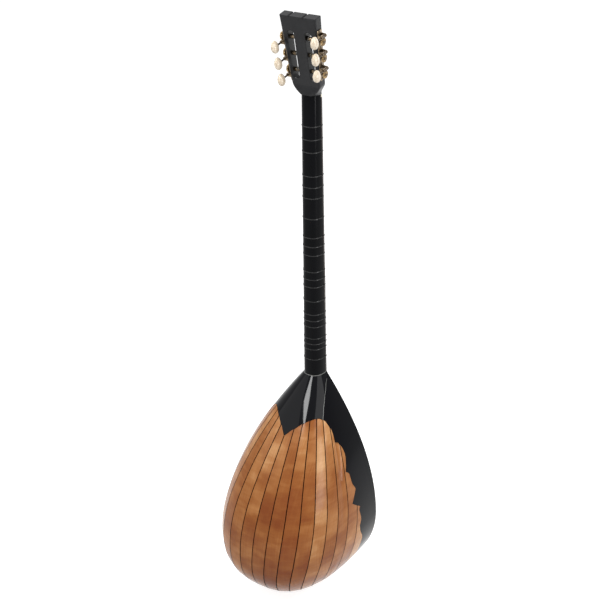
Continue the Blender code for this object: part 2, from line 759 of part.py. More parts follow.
def add_neck(parent, finishes):
    bm = bmesh.new()
    low, high = BOWL_LENGTH + FIT_GAP / 2, NUT_HEIGHT + NUT_THICKNESS + 2 * FIT_GAP
    heights = [low + (high - low) * i / 6 for i in range(7)]
    add_loft(bm, [neck_ring(height, RIM) for height in heights])
    neck = add_object("neck", mesh_from(bm, "neck"), finishes["neck"], parent)
    cut(neck, add_fret_solids(parent), "UNION")
    bm = bmesh.new()
    rings = []
    for height in (BOWL_LENGTH + FIT_GAP, NUT_HEIGHT - FIT_GAP):
        wide = neck_size(height)[0]
        rings.append([(-wide, 0.0, height), (wide, 0.0, height), (wide, TOP_THICKNESS, height),
                      (-wide, TOP_THICKNESS, height)])
    add_loft(bm, rings)
    add_object("fingerboard", mesh_from(bm, "fingerboard"), finishes["fingerboard"], parent)


def add_nut(parent, finishes):
    bm = bmesh.new()
    wide = NUT_WIDTH / 2 - FIT_GAP
    high = NUT_HEIGHT + NUT_THICKNESS
    profile = [(TOP_THICKNESS, NUT_HEIGHT), (TOP_THICKNESS, high), (-NUT_RISE * 0.3, high),
               (-NUT_RISE, NUT_HEIGHT + NUT_THICKNESS * NUT_CROWN), (-NUT_RISE, NUT_HEIGHT)]
    add_loft(bm, [[(x, y, z) for y, z in profile] for x in (-wide, wide)])
    add_object("nut", mesh_from(bm, "nut"), finishes["bone"], parent)


def fret_height(semitone):
    return NUT_HEIGHT - SCALE_LENGTH * (1 - 2 ** (-semitone / 12))


def fret_ring(height, grow):
    """Outline of a fret's face: tight round the back of the neck and just clear of the fingerboard."""
    clear = max(FIT_GAP, grow)
    round_back = neck_ring(height, RIM, grow=grow)
    wide = neck_size(height)[0] + clear
    ring = [(wide, -clear, height), (wide, RIM, height)] + round_back[1:-1]
    return ring + [(-wide, RIM, height), (-wide, -clear, height)]


def add_fret_solids(parent):
    """Nylon frets tied right round the neck, each a closed band pressed into the neck's back."""
    bm = bmesh.new()
    for semitone in FRET_SEMITONES:
        height = fret_height(semitone)
        rings = []
        for end, grow in ((0, FRET_THICKNESS), (1, -FIT_GAP), (-1, -FIT_GAP)):
            ring = fret_ring(height, grow)
            rings.append([(x, y, z + end * FRET_WIDTH / 2) for x, y, z in ring])
        add_loft(bm, rings, closed_ends=False)
    return add_cutter("cutter_tied_frets", bm, parent)


# Head

def head_half_width(up):
    """Half width of the head at a distance from the nut: a shoulder, then a straight taper to the top."""
    start = NUT_WIDTH / 2
    taper = (HEAD_TOP_WIDTH - HEAD_LOW_WIDTH) / 2 / (HEAD_LENGTH - HEAD_FLARE_END)
    straight = HEAD_LOW_WIDTH / 2 + taper * (up - HEAD_FLARE_END)
    return start + (straight - start) * smoothstep(0.006, HEAD_FLARE_END, up)


def head_ring(up):
    """Outline of the head across its axis: rounded like the neck at first, then flat with eased edges."""
    turn_flat = smoothstep(0.006, HEAD_FLARE_END, up)
    wide = head_half_width(up)
    thick = (NUT_DEPTH - HEAD_DROP) * (1 - turn_flat) + HEAD_THICKNESS * turn_flat
    ease_x, ease_y = 1 - HEAD_CHAMFER / wide, 1 - HEAD_CHAMFER / thick
    flat = [(1, 0), (1, 0.35), (1, 0.7), (1, ease_y), (ease_x, 1), (0.4, 1)]
    flat = flat + [(-x, y) for x, y in reversed(flat)]
    ring = []
    for i, (flat_x, flat_y) in enumerate(flat):
        turn = math.pi * i / 11
        round_x = math.copysign(abs(math.cos(turn)) ** (2 / NECK_POWER), math.cos(turn))
        round_y = abs(math.sin(turn)) ** (2 / NECK_POWER)
        x = round_x + (flat_x - round_x) * turn_flat
        y = round_y + (flat_y - round_y) * turn_flat
        ring.append(Vector((wide * x, thick * y, up)))
    return ring


def add_slot_cutter(parent):
    bm = bmesh.new()
    radius = (SLOT_OUTER - SLOT_INNER) / 2
    for side in SIDES.values():
        centre = side * (SLOT_OUTER + SLOT_INNER) / 2
        outline = []
        for end, start in ((SLOT_ENDS[1] - radius, 0.0), (SLOT_ENDS[0] + radius, math.pi)):
            for i in range(7):
                turn = start + math.pi * i / 6
                outline.append((centre + radius * math.cos(turn), end + radius * math.sin(turn)))
        add_loft(bm, [[(x, y, z) for x, z in outline] for y in (-0.010, 0.030)])
    return add_cutter("cutter_head_slots", bm, parent)


def add_string_ramp_cutter(parent):
    """Wedges that lead the strings from the head's front face down into the slots."""
    bm = bmesh.new()
    high = SLOT_ENDS[0] + (SLOT_OUTER - SLOT_INNER) / 2
    depth_there = RAMP_DEPTH * (high - RAMP_START) / (SLOT_ENDS[0] - RAMP_START)
    wedge = [(0.0, RAMP_START), (depth_there, high), (-0.010, high), (-0.010, RAMP_START)]
    for side in SIDES.values():
        add_loft(bm, [[(side * x, y, z) for y, z in wedge] for x in (SLOT_INNER, SLOT_OUTER)])
    return add_cutter("cutter_string_ramps", bm, parent)


def add_notch_cutter(parent):
    """Two fine grooves from front to back across the head's end."""
    bm = bmesh.new()
    low, high = HEAD_LENGTH - NOTCH_DEPTH, HEAD_LENGTH + NOTCH_DEPTH
    for centre in NOTCH_PLACES:
        notch = [(centre, low), (centre + NOTCH_WIDTH, high), (centre - NOTCH_WIDTH, high)]
        add_loft(bm, [[(x, y, z) for x, z in notch] for y in (-0.010, 0.030)])
    return add_cutter("cutter_head_notches", bm, parent)


def tuner_matrix(side, up):
    """Place of one tuner on the head's side, in the head's frame: X out of the side, Y to the back."""
    turn = HEAD_TAPER if side > 0 else math.pi - HEAD_TAPER
    place = Vector((side * head_half_width(up), ROLLER_BACK, up))
    return Matrix.Translation(place) @ Matrix.Rotation(turn, 4, "Y")


def roller_ups():
    return [MIDDLE_ROLLER_UP + TUNER_PITCH * step for step in (-1, 0, 1)]


def roller_length(up):
    """From the head's side through the cheek and the slot to a blind bore in the middle web."""
    return (head_half_width(up) - SLOT_INNER + ROLLER_SEAT) / math.cos(HEAD_TAPER)


def add_head(head_frame, finishes):
    bm = bmesh.new()
    start = NUT_THICKNESS + 3 * FIT_GAP
    first = []
    for x, y, _ in neck_ring(NUT_HEIGHT, HEAD_DROP, 12):
        first.append(Vector((x, y - HEAD_DROP, start)))
    tilt_back = Matrix.Rotation(HEAD_TILT, 4, "X")
    rings = [[tilt_back @ point for point in first]]
    ups = [0.013, 0.017, 0.021, 0.025, HEAD_FLARE_END, HEAD_LENGTH]
    rings += [head_ring(up) for up in ups]
    add_loft(bm, rings)
    head = add_object("head", mesh_from(bm, "head"), finishes["satin_black"], head_frame)
    for cutter in (add_slot_cutter, add_string_ramp_cutter, add_notch_cutter):
        cut(head, cutter(head_frame))
    bores = bmesh.new()
    for side in SIDES.values():
        for up in roller_ups():
            matrix = tuner_matrix(side, up)
            reach = roller_length(up) + FIT_GAP
            piece = bmesh.new()
            radius = ROLLER_RADIUS + FIT_GAP
            add_turned(piece, ((-reach, 0), (-reach, radius), (0.004, radius), (0.004, 0)), 12, "X")
            piece.transform(matrix)
            part = bpy.data.meshes.new("bore")
            piece.to_mesh(part)
            piece.free()
            bores.from_mesh(part)
    cut(head, add_cutter("cutter_roller_bores", bores, head_frame))


# Tuners

def add_plate(side_name, side, head_frame, finishes):
    """Side plate with a pair of bearing ears for each worm."""
    frame = add_empty(f"plate_frame_{side_name}", (0, 0, 0), parent=head_frame)
    frame.matrix_local = tuner_matrix(side, MIDDLE_ROLLER_UP)
    near, far = FIT_GAP, FIT_GAP + PLATE_THICKNESS
    top = TUNER_PITCH + 0.0115
    low = -TUNER_PITCH - WORM_OFFSET - 0.0105
    half = PLATE_WIDTH / 2
    corner = 0.003
    outline = [(-half, low + corner), (-half + corner, low), (half - corner, low), (half, low + corner),
               (half, top - corner), (half - corner, top), (-half + corner, top), (-half, top - corner)]
    bm = bmesh.new()
    add_loft(bm, [[(x, y, z) for y, z in outline] for x in (near, far)])
    name = f"tuner_plate_{side_name}"
    plate = add_object(name, mesh_from(bm, name), finishes["plate"], frame)
    ears = bmesh.new()
    holes = bmesh.new()
    for step in (-1, 0, 1):
        worm_z = step * TUNER_PITCH - WORM_OFFSET
        ear = [(near + 0.0004, worm_z - EAR_RADIUS), (WORM_STANDOFF, worm_z - EAR_RADIUS)]
        for i in range(1, 4):
            turn = -math.pi / 2 + math.pi * i / 4
            ear.append((WORM_STANDOFF + EAR_RADIUS * math.cos(turn), worm_z + EAR_RADIUS * math.sin(turn)))
        ear += [(WORM_STANDOFF, worm_z + EAR_RADIUS), (near + 0.0004, worm_z + EAR_RADIUS)]
        for end in (-1, 1):
            inner = end * (WORM_LENGTH / 2 + 2 * FIT_GAP)
            outer = inner + end * EAR_THICKNESS
            add_loft(ears, [[(x, y, z) for x, z in ear] for y in sorted((inner, outer))])
        bore = SHAFT_RADIUS + FIT_GAP
        add_turned(holes, ((-0.012, 0), (-0.012, bore), (0.012, bore), (0.012, 0)), 8, "Y",
                   (WORM_STANDOFF, 0.0, worm_z))
        hole = JOURNAL_RADIUS + FIT_GAP
        add_turned(holes, ((-0.001, 0), (-0.001, hole), (0.003, hole), (0.003, 0)), 8, "X",
                   (0.0, 0.0, step * TUNER_PITCH))
    cut(plate, add_cutter(f"cutter_ears_{side_name}", ears, frame), "UNION")
    cut(plate, add_cutter(f"cutter_plate_holes_{side_name}", holes, frame))


def roller_mesh(up):
    """Roller through the head's cheek, its journal in the plate and the spigot that carries the gear."""
    inner = -roller_length(up)
    shoulder = GEAR_BACK - FIT_GAP
    end = GEAR_BACK + GEAR_THICKNESS
    profile = ((inner, 0), (inner, ROLLER_RADIUS), (-FIT_GAP, ROLLER_RADIUS), (-FIT_GAP, JOURNAL_RADIUS),
               (shoulder, JOURNAL_RADIUS), (shoulder, SPIGOT_RADIUS), (end, SPIGOT_RADIUS), (end, 0))
    bm = bmesh.new()
    add_turned(bm, profile, 10, "X")
    return mesh_from(bm, "string_roller")


def gear_mesh():
    """Wheel of flat-topped teeth whose hollow faces the worm's middle thread at rest."""
    bm = bmesh.new()
    mean = GEAR_RADIUS - FIT_GAP / 2
    outline = []
    for tooth in range(GEAR_TEETH):
        for phase, radius in ((-0.07, 0.5), (0.07, 0.5), (0.36, -0.5), (0.64, -0.5)):
            turn = 2 * math.pi * (tooth + 0.5 + phase) / GEAR_TEETH
            size = mean + radius * TOOTH_DEPTH
            outline.append((-size * math.sin(turn), -size * math.cos(turn)))
    add_loft(bm, [[(x, y, z) for y, z in outline] for x in (GEAR_BACK, GEAR_BACK + GEAR_THICKNESS)])
    return mesh_from(bm, "gear_wheel")


def add_gear(label, roller_frame, finishes):
    gear = add_object(f"gear_wheel_{label}", gear_mesh(), finishes["brass"], roller_frame)
    bore = bmesh.new()
    radius = SPIGOT_RADIUS + FIT_GAP
    near, far = GEAR_BACK - GEAR_THICKNESS, GEAR_BACK + 2 * GEAR_THICKNESS
    add_turned(bore, ((near, 0), (near, radius), (far, radius), (far, 0)), 8, "X")
    cut(gear, add_cutter(f"cutter_gear_bore_{label}", bore, roller_frame))


def worm_mesh():
    """Shaft with one real thread, right-handed, its crest facing the gear's hollow at rest."""
    bm = bmesh.new()
    segments = 8
    per_turn = 5
    steps = round(WORM_LENGTH / WORM_LEAD * per_turn)
    mean = WORM_RADIUS - FIT_GAP / 2
    rings = []
    front, back = -WORM_LENGTH / 2 - EAR_THICKNESS - 4 * FIT_GAP, BUTTON_BACK - BUTTON_SIZE[1] / 2 + 0.004
    stations = [(front, SHAFT_RADIUS), (-WORM_LENGTH / 2, SHAFT_RADIUS)]
    stations += [(-WORM_LENGTH / 2 + WORM_LENGTH * i / steps, None) for i in range(steps + 1)]
    stations += [(WORM_LENGTH / 2, SHAFT_RADIUS), (back, SHAFT_RADIUS)]
    for along, radius in stations:
        ring = []
        for i in range(segments):
            turn = 2 * math.pi * i / segments
            size = radius
            if size is None:
                phase = 2 * math.pi * along / WORM_LEAD - turn
                size = mean + TOOTH_DEPTH / 2 * math.cos(phase)
            ring.append((size * math.sin(turn), along, size * math.cos(turn)))
        rings.append(ring)
    add_loft(bm, rings)
    return mesh_from(bm, "worm_shaft")


def button_mesh(narrow_end):
    """Egg-shaped button, widest along Z, bored for the shaft."""
    bm = bmesh.new()
    thick, long, tall = (size / 2 for size in BUTTON_SIZE)
    bore = SHAFT_RADIUS + FIT_GAP
    floor = -long + 0.004 + FIT_GAP
    segments = 10
    rim = bore + 0.0012
    profile = [(floor, 0.0, 0.0), (floor, bore, bore), (-long, bore, bore), (-long, rim, rim),
               (-long + 0.0018, rim + 0.0002, rim + 0.0006)]
    for angle in (-42, -12, 22, 55):
        along, size = math.sin(math.radians(angle)), math.cos(math.radians(angle)) ** 0.8
        profile.append((long * along, thick * size, tall * size))
    profile.append((long, 0.0, 0.0))
    rings = []
    for along, across, up in profile:
        if across == 0:
            rings.append([bm.verts.new((0.0, along, 0.0))])
            continue
        ring = []
        for i in range(segments):
            turn = 2 * math.pi * i / segments
            z = up * math.sin(turn)
            slim = 1 - BUTTON_NARROWING * narrow_end * z / tall
            ring.append(bm.verts.new((across * math.cos(turn) * slim, along, z)))
        rings.append(ring)
    for lower, upper in zip(rings, rings[1:]):
        for i in range(segments):
            j = (i + 1) % segments
            if len(lower) == 1:
                bm.faces.new((lower[0], upper[j], upper[i]))
            elif len(upper) == 1:
                bm.faces.new((lower[i], lower[j], upper[0]))
            else:
                bm.faces.new((lower[i], lower[j], upper[j], upper[i]))
    return mesh_from(bm, "button")


def add_tuners(head_frame, finishes):
    """Six tuners, numbered from the nut on each side; the two sides are the same machine, turned round."""
    for side_name, side in SIDES.items():
        add_plate(side_name, side, head_frame, finishes)
        for number, up in enumerate(roller_ups(), start=1):
            label = f"{side_name}_{number}"
            roller_frame = add_empty(f"roller_frame_{label}", (0, 0, 0), parent=head_frame)
            roller_frame.matrix_local = tuner_matrix(side, up)
            worm_place = (WORM_STANDOFF, 0.0, -WORM_OFFSET)
            worm_frame = add_empty(f"worm_frame_{label}", worm_place, parent=roller_frame)
            add_object(f"string_roller_{label}", roller_mesh(up), finishes["roller"], roller_frame)
            add_gear(label, roller_frame, finishes)
            add_object(f"worm_shaft_{label}", worm_mesh(), finishes["steel"], worm_frame)
            add_object(f"tuner_button_{label}", button_mesh(side), finishes["ivory"], worm_frame,
                       (0.0, BUTTON_BACK, 0.0))


# Strings and what they bear on

def add_bridge(parent, finishes):
    half = BRIDGE_WIDTH / 2
    rise = -BRIDGE_RISE
    side = [(half, -FIT_GAP), (half, rise * 0.55), (half * 0.86, rise * 0.93), (half * 0.5, rise)]
    arch = [(half * 0.72, -FIT_GAP), (half * 0.62, rise * 0.30), (half * 0.35, rise * 0.45)]
    outline = side + [(-x, y) for x, y in reversed(side)] + [(-x, y) for x, y in arch]
    outline += [(x, y) for x, y in reversed(arch)]
    bm = bmesh.new()
    low, high = BRIDGE_HEIGHT - BRIDGE_THICKNESS / 2, BRIDGE_HEIGHT + BRIDGE_THICKNESS / 2
    add_loft(bm, [[(x, y, z) for x, y in outline] for z in (low, high)])
    add_object("bridge", mesh_from(bm, "bridge"), finishes["bridge"], parent)


def string_x(number, pair_spacing):
    """Strings 1 to 6 from the bass side, in three pairs."""
    pair = (number - 1) // 2 - 1
    return pair * pair_spacing + (PAIR_HALF_GAP if number % 2 == 0 else -PAIR_HALF_GAP)


def add_tail_fittings(parent, finishes):
    bm = bmesh.new()
    reach = PAIR_SPACING_AT_TAIL + 0.004
    profile = [(-FIT_GAP, 0.0), (-SADDLE_RISE, 0.0015), (-SADDLE_RISE, 0.0035), (-FIT_GAP, 0.006)]
    add_loft(bm, [[(x, y, z) for y, z in profile] for x in (-reach, reach)])
    add_object("tail_saddle", mesh_from(bm, "tail_saddle"), finishes["bone"], parent)
    bm = bmesh.new()
    near, far = -FIT_GAP, -FIT_GAP - HOLDER_THICKNESS
    add_box(bm, (-reach, HOLDER_BACK - 0.006, far), (reach, HOLDER_BACK + 0.008, near))
    holder = add_object("string_holder", mesh_from(bm, "string_holder"), finishes["plate"], parent)
    posts = bmesh.new()
    for number in range(1, 7):
        x = string_x(number, PAIR_SPACING_AT_TAIL)
        low, high = far - POST_LENGTH, near - FIT_GAP
        add_turned(posts, ((low, 0), (low, POST_RADIUS), (high, POST_RADIUS), (high, 0)), 8, "Z",
                   (x, HOLDER_BACK, 0.0))
    cut(holder, add_cutter("cutter_holder_posts", posts, parent), "UNION")


def string_points(number):
    """Route of one string: holder, tail saddle, bridge, nut, and the turns on its roller."""
    tail_x = string_x(number, PAIR_SPACING_AT_TAIL)
    bridge_x = string_x(number, PAIR_SPACING_AT_BRIDGE)
    nut_x = string_x(number, PAIR_SPACING_AT_NUT)
    below = -FIT_GAP - HOLDER_THICKNESS - 0.0012
    points = [
        Vector((tail_x, HOLDER_BACK - POST_RADIUS - FIT_GAP, below)),
        Vector((tail_x, 0.008, below)),
        Vector((tail_x, 0.001, below + 0.0010)),
        Vector((tail_x, -SADDLE_RISE + 0.0005, -0.0006)),
        Vector((tail_x, -SADDLE_RISE - STRING_REST - 0.0002, 0.0020)),
        Vector((bridge_x, -BRIDGE_RISE - STRING_REST - 0.0001, BRIDGE_HEIGHT)),
        Vector((nut_x, -NUT_RISE - STRING_REST, NUT_HEIGHT + NUT_THICKNESS * NUT_CROWN)),
    ]
    side = -1 if number <= 3 else 1
    place = number if number <= 3 else 7 - number
    up = roller_ups()[place - 1]
    if abs(nut_x) < PAIR_SPACING_AT_NUT / 2:
        slot_edge = Vector((side * (SLOT_INNER + STRING_REST), -STRING_REST, up * SLOT_EDGE_SHARE))
        points.append(head_matrix() @ slot_edge)
    to_model = head_matrix() @ tuner_matrix(side, up)
    radius = ROLLER_RADIUS + STRING_REST
    coil_x = -(head_half_width(up) - (0.0168 - 0.0016 * place))
    start_turn = math.radians(-20)
    count = round(WINDING_TURNS * 8)
    for i in range(count + 1):
        turn = start_turn + 2 * math.pi * i / 8
        along = coil_x + WINDING_PITCH * i / 8
        points.append(to_model @ Vector((along, -radius * math.cos(turn), side * radius * math.sin(turn))))
    return points


def head_matrix():
    """The head's frame: its front face starts behind the nut's foot and leans back."""
    place = Matrix.Translation(Vector((0.0, HEAD_DROP, NUT_HEIGHT)))
    return place @ Euler((-HEAD_TILT, 0.0, 0.0)).to_matrix().to_4x4()


def add_tube(name, points, radius, resolution, finish, parent):
    curve = bpy.data.curves.new(name, "CURVE")
    curve.dimensions = "3D"
    curve.bevel_depth = radius
    curve.bevel_resolution = resolution
    curve.use_fill_caps = True
    spline = curve.splines.new("POLY")
    spline.points.add(len(points) - 1)
    for target, point in zip(spline.points, points):
        target.co = (*point, 1.0)
    curve.materials.append(finish)
    made = bpy.data.objects.new(name, curve)
    bpy.context.collection.objects.link(made)
    made.parent = parent


def least_turn_gap(points, radius, per_turn):
    """Smallest distance between the surfaces of neighbouring turns."""
    gaps = [(points[i + per_turn] - points[i]).length for i in range(len(points) - per_turn)]
    return min(gaps) - 2 * radius


def add_strings(parent, finishes):
    for number in range(1, 7):
        points = string_points(number)
        add_tube(f"string_{number}", points, STRING_RADIUS, 1, finishes["steel"], parent)
        turns = points[-round(WINDING_TURNS * 8) - 1:]
        gap = least_turn_gap(turns, STRING_RADIUS, 8) * 1000
        print(f"string_{number}: least gap between turns {gap:.2f} mm")


# Pickup and output jack

def panel_surface(height, back):
    """Outer face of the bowl's side at a height and a distance behind the soundboard's front."""
    power = section_power(height)
    sine = (back / depth(height)) ** (power / 2)
    return half_width(height) * math.sqrt(1 - sine * sine) ** (2 / power)


def add_jack(parent, finishes):
    face = panel_surface(JACK_HEIGHT, JACK_BACK)
    flange = face - STAVE_WALL - JACK_FLANGE_GAP
    centre = (0.0, JACK_BACK, JACK_HEIGHT)
    mouth = face + JACK_PROUD
    floor = flange - JACK_BODY_LENGTH + JACK_FLOOR
    profile = ((floor, 0), (floor, JACK_BORE_RADIUS), (mouth, JACK_BORE_RADIUS), (mouth, JACK_BARREL_RADIUS),
               (flange, JACK_BARREL_RADIUS), (flange, JACK_BODY_RADIUS),
               (flange - JACK_BODY_LENGTH, JACK_BODY_RADIUS), (flange - JACK_BODY_LENGTH, 0))
    bm = bmesh.new()
    add_turned(bm, profile, 16, "X", centre)
    add_object("output_jack", mesh_from(bm, "output_jack"), finishes["plate"], parent)
    bm = bmesh.new()
    outer = JACK_NUT_ACROSS / 2 / math.cos(math.pi / 6)
    reaches = (-outer, 0.0, outer)
    highest = max(panel_surface(JACK_HEIGHT + up, JACK_BACK + back) for up in reaches for back in reaches)
    seat = highest + JACK_NUT_SEAT
    top = seat + JACK_NUT_THICKNESS
    inner = JACK_BARREL_RADIUS + FIT_GAP
    rings = []
    for along, size, sides in ((seat, inner, 24), (seat, outer, 6), (top, outer, 6), (top, inner, 24)):
        ring = []
        for i in range(24):
            turn = 2 * math.pi * i / 24
            reach = size
            if sides == 6:
                sector = (turn % (math.pi / 3)) - math.pi / 6
                reach = size * math.cos(math.pi / 6) / math.cos(sector)
            ring.append((along, JACK_BACK + reach * math.cos(turn), JACK_HEIGHT + reach * math.sin(turn)))
        rings.append(ring)
    add_loft(bm, rings, closed_ends=False)
    add_object("jack_nut", mesh_from(bm, "jack_nut"), finishes["plate"], parent)


def smooth_route(knots, count):
    """Catmull-Rom points through the knots, evenly many between each pair."""
    points = []
    padded = [knots[0] * 2 - knots[1]] + knots + [knots[-1] * 2 - knots[-2]]
    for i in range(1, len(padded) - 2):
        a, b, c, d = padded[i - 1:i + 3]
        for step in range(count):
            t = step / count
            points.append(0.5 * (2 * b + (c - a) * t + (2 * a - 5 * b + 4 * c - d) * t**2
                                 + (3 * b - a - 3 * c + d) * t**3))
    points.append(knots[-1])
    return points


def add_pickup(parent, finishes):
    bm = bmesh.new()
    near, far = RIM, RIM + PICKUP_THICKNESS
    add_turned(bm, ((near, 0), (near, PICKUP_RADIUS), (far, PICKUP_RADIUS), (far, 0)), 16, "Y",
               (PICKUP_X, 0.0, BRIDGE_HEIGHT))
    add_object("pickup", mesh_from(bm, "pickup"), finishes["brass"], parent)
    start = Vector((PICKUP_X, RIM + PICKUP_THICKNESS + FIT_GAP + CABLE_RADIUS, BRIDGE_HEIGHT))
    end_x = panel_surface(JACK_HEIGHT, JACK_BACK) - STAVE_WALL - JACK_FLANGE_GAP - JACK_BODY_LENGTH - FIT_GAP
    end = Vector((end_x, JACK_BACK, JACK_HEIGHT))
    run = RIM + FIT_GAP + CABLE_RADIUS
    knots = [
        start,
        start + Vector((0.014, 0.0, 0.002)),
        Vector((0.045, run + 0.0006, BRIDGE_HEIGHT + 0.008)),
        Vector((0.070, run + 0.0010, (BRIDGE_HEIGHT + JACK_HEIGHT) / 2 + 0.004)),
        Vector((end_x - 0.024, JACK_BACK * 0.55, JACK_HEIGHT - 0.001)),
        Vector((end_x - 0.010, JACK_BACK * 0.93, JACK_HEIGHT)),
        end,
    ]
    add_tube("pickup_cable", smooth_route(knots, 4), CABLE_RADIUS, 1, finishes["cable"], parent)


def build():
    clear_scene()
    finishes = {
        "stave": material("stave_wood", (0.42, 0.17, 0.06), 0.22),
        "black": material("gloss_black", (0.010, 0.010, 0.012), 0.12),
        "neck": material("neck_black", (0.010, 0.010, 0.012), 0.15),
        "satin_black": material("satin_black", (0.020, 0.020, 0.022), 0.40),
        "fingerboard": material("fingerboard_wood", (0.030, 0.018, 0.014), 0.35),
        "spruce": material("soundboard_spruce", (0.62, 0.40, 0.20), 0.30),
        "pale_wood": material("pale_wood", (0.60, 0.42, 0.24), 0.60),
        "bridge": material("bridge_wood", (0.16, 0.07, 0.03), 0.45),
        "bone": material("bone", (0.80, 0.75, 0.62), 0.35),
        "nylon": material("fret_nylon", (0.45, 0.40, 0.33), 0.35),
        "plate": material("plated_steel", (0.55, 0.53, 0.48), 0.28, 1.0),
        "brass": material("brass", (0.72, 0.50, 0.20), 0.30, 1.0),
        "steel": material("steel", (0.60, 0.60, 0.60), 0.25, 1.0),
        "roller": material("roller_steel", (0.50, 0.48, 0.44), 0.35, 1.0),
        "ivory": material("ivory_plastic", (0.85, 0.80, 0.68), 0.25),
        "cable": material("cable_black", (0.015, 0.015, 0.015), 0.50),
    }
    frame = add_empty("saz_frame", (0.0, -HANGER_BACK, -HANGER_HEIGHT))
    head_frame = add_empty("head_frame", (0.0, HEAD_DROP, NUT_HEIGHT), (-HEAD_TILT, 0.0, 0.0), frame)
    add_staves(frame, finishes)
    add_panels(frame, finishes)
    add_heel_cap(frame, finishes)
    add_tail_cap(frame, finishes)
    add_soundboard(frame, finishes)
    add_binding(frame, finishes)
    add_linings(frame, finishes)
    add_blocks(frame, finishes)
    add_neck(frame, finishes)
    add_nut(frame, finishes)
    add_head(head_frame, finishes)
    add_tuners(head_frame, finishes)
    add_bridge(frame, finishes)
    add_tail_fittings(frame, finishes)
    add_strings(frame, finishes)
    add_jack(frame, finishes)
    add_pickup(frame, finishes)


build()
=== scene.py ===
"""Looks of the electro-acoustic saz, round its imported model: staves, panels, frets, head and tuners.

Sizes are in metres. Shapes are laid out from the tail's flat end, as in the part's own source, and TO_ROW
moves them into the model's frame: X to the treble side, -Y out of the soundboard, +Z up the neck.
"""
import math

import bmesh
import bpy
import numpy as np
from mathutils import Euler, Matrix, Vector


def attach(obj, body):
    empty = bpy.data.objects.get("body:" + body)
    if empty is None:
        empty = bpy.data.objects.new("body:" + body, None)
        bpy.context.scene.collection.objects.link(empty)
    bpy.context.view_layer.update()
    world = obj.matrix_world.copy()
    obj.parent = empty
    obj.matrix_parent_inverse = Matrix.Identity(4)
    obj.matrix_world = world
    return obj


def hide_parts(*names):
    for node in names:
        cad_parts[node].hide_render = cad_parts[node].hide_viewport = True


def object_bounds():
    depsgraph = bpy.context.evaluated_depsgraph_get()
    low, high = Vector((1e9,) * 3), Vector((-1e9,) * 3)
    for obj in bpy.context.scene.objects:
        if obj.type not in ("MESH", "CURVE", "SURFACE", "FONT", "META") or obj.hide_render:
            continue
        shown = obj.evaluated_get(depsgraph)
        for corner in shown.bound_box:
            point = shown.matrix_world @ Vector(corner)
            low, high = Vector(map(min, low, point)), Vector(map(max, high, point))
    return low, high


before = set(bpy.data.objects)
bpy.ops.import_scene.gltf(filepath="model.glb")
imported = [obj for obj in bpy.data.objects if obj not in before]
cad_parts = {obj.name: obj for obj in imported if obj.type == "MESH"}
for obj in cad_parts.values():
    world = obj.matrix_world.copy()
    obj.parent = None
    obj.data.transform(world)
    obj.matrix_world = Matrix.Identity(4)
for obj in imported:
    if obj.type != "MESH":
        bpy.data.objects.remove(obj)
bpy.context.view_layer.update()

# Main lengths, as in the part's source
SCALE_LENGTH, BOWL_LENGTH, NECK_LENGTH = 0.880, 0.456, 0.545
BOWL_WIDTH, BOWL_DEPTH = 0.270, 0.2425
WIDEST_HEIGHT, DEEPEST_HEIGHT = 0.160, 0.130
WIDTH_SLOPE_AT_NECK, DEPTH_SLOPE_AT_NECK = -0.769, -1.105
TAIL_WIDTH_POWERS, TAIL_DEPTH_POWERS = (1.917, 1.990), (2.047, 2.186)
TAIL_POWER, BACK_POWER, NECK_POWER = 2.49, 3.07, 2.62
FULL_BACK_HEIGHT, SHOULDER_HEIGHT = 0.200, 0.360
SEAM_GATHER, GATHER_HEIGHT = 0.433, 0.250
STAVE_SHARE, STAVE_WALL = 0.1, 0.0032
TAIL_CAP_HEIGHT, TAIL_CAP_SHARE = 0.003, 0.70
TOP_THICKNESS, BINDING_WIDTH, RIM = 0.004, 0.0020, 0.0043
BRACE_HEIGHTS, BRACE_THICKNESS = (0.215, 0.300), 0.006
GAP = 0.0003
JOINT_WIDTH, JOINT_DEPTH = 0.0414, 0.0310
NUT_WIDTH, NUT_DEPTH, NUT_THICKNESS, NUT_RISE = 0.0348, 0.0240, 0.0047, 0.00145
NUT_HEIGHT = BOWL_LENGTH + NECK_LENGTH
NUT_CROWN_HEIGHT = NUT_HEIGHT + NUT_THICKNESS * 0.55
BRIDGE_HEIGHT = NUT_HEIGHT - SCALE_LENGTH
HANGER_HEIGHT, HANGER_BACK = NUT_HEIGHT + 0.010, NUT_DEPTH / 2
TO_ROW = Matrix.Translation((0.0, -HANGER_BACK, -HANGER_HEIGHT))
SIDES = {"bass": -1, "treble": 1}

# Black cap and panels
CAP_PEAK_HEIGHT, CAP_TIP_DROP = BOWL_LENGTH - 0.059, 0.029
PEAK_SHARE, CORNER_SHARE = 0.4, 0.5
FIRST_CUSP_HEIGHT, FIRST_CUSP_SHARE = BOWL_LENGTH - 0.104, 0.644
PANEL_TOP_HEIGHT = BOWL_LENGTH - 0.005
# Edge of a side panel below the first cusp: lobes of (height, share of the half arc)
LOBES = (
    ((FIRST_CUSP_HEIGHT, FIRST_CUSP_SHARE), (0.3484, 0.684), (0.3369, 0.724), (0.3236, 0.743),
     (0.3105, 0.735), (0.2950, 0.714)),
    ((0.2950, 0.714), (0.2888, 0.748), (0.2789, 0.759), (0.2672, 0.768), (0.2531, 0.798)),
    ((0.2531, 0.798), (0.2419, 0.774), (0.2293, 0.744)),
    ((0.2293, 0.744), (0.2112, 0.825)),
    ((0.2112, 0.825), (0.2053, 0.815), (0.1956, 0.822), (0.1811, 0.830), (0.1685, 0.814)),
    ((0.1685, 0.814), (0.1523, 0.825), (0.1325, 0.855), (0.1117, 0.857), (0.0932, 0.852)),
    ((0.0932, 0.852), (0.0700, 0.876), (0.0400, 0.892), (0.0000, 0.895)),
)

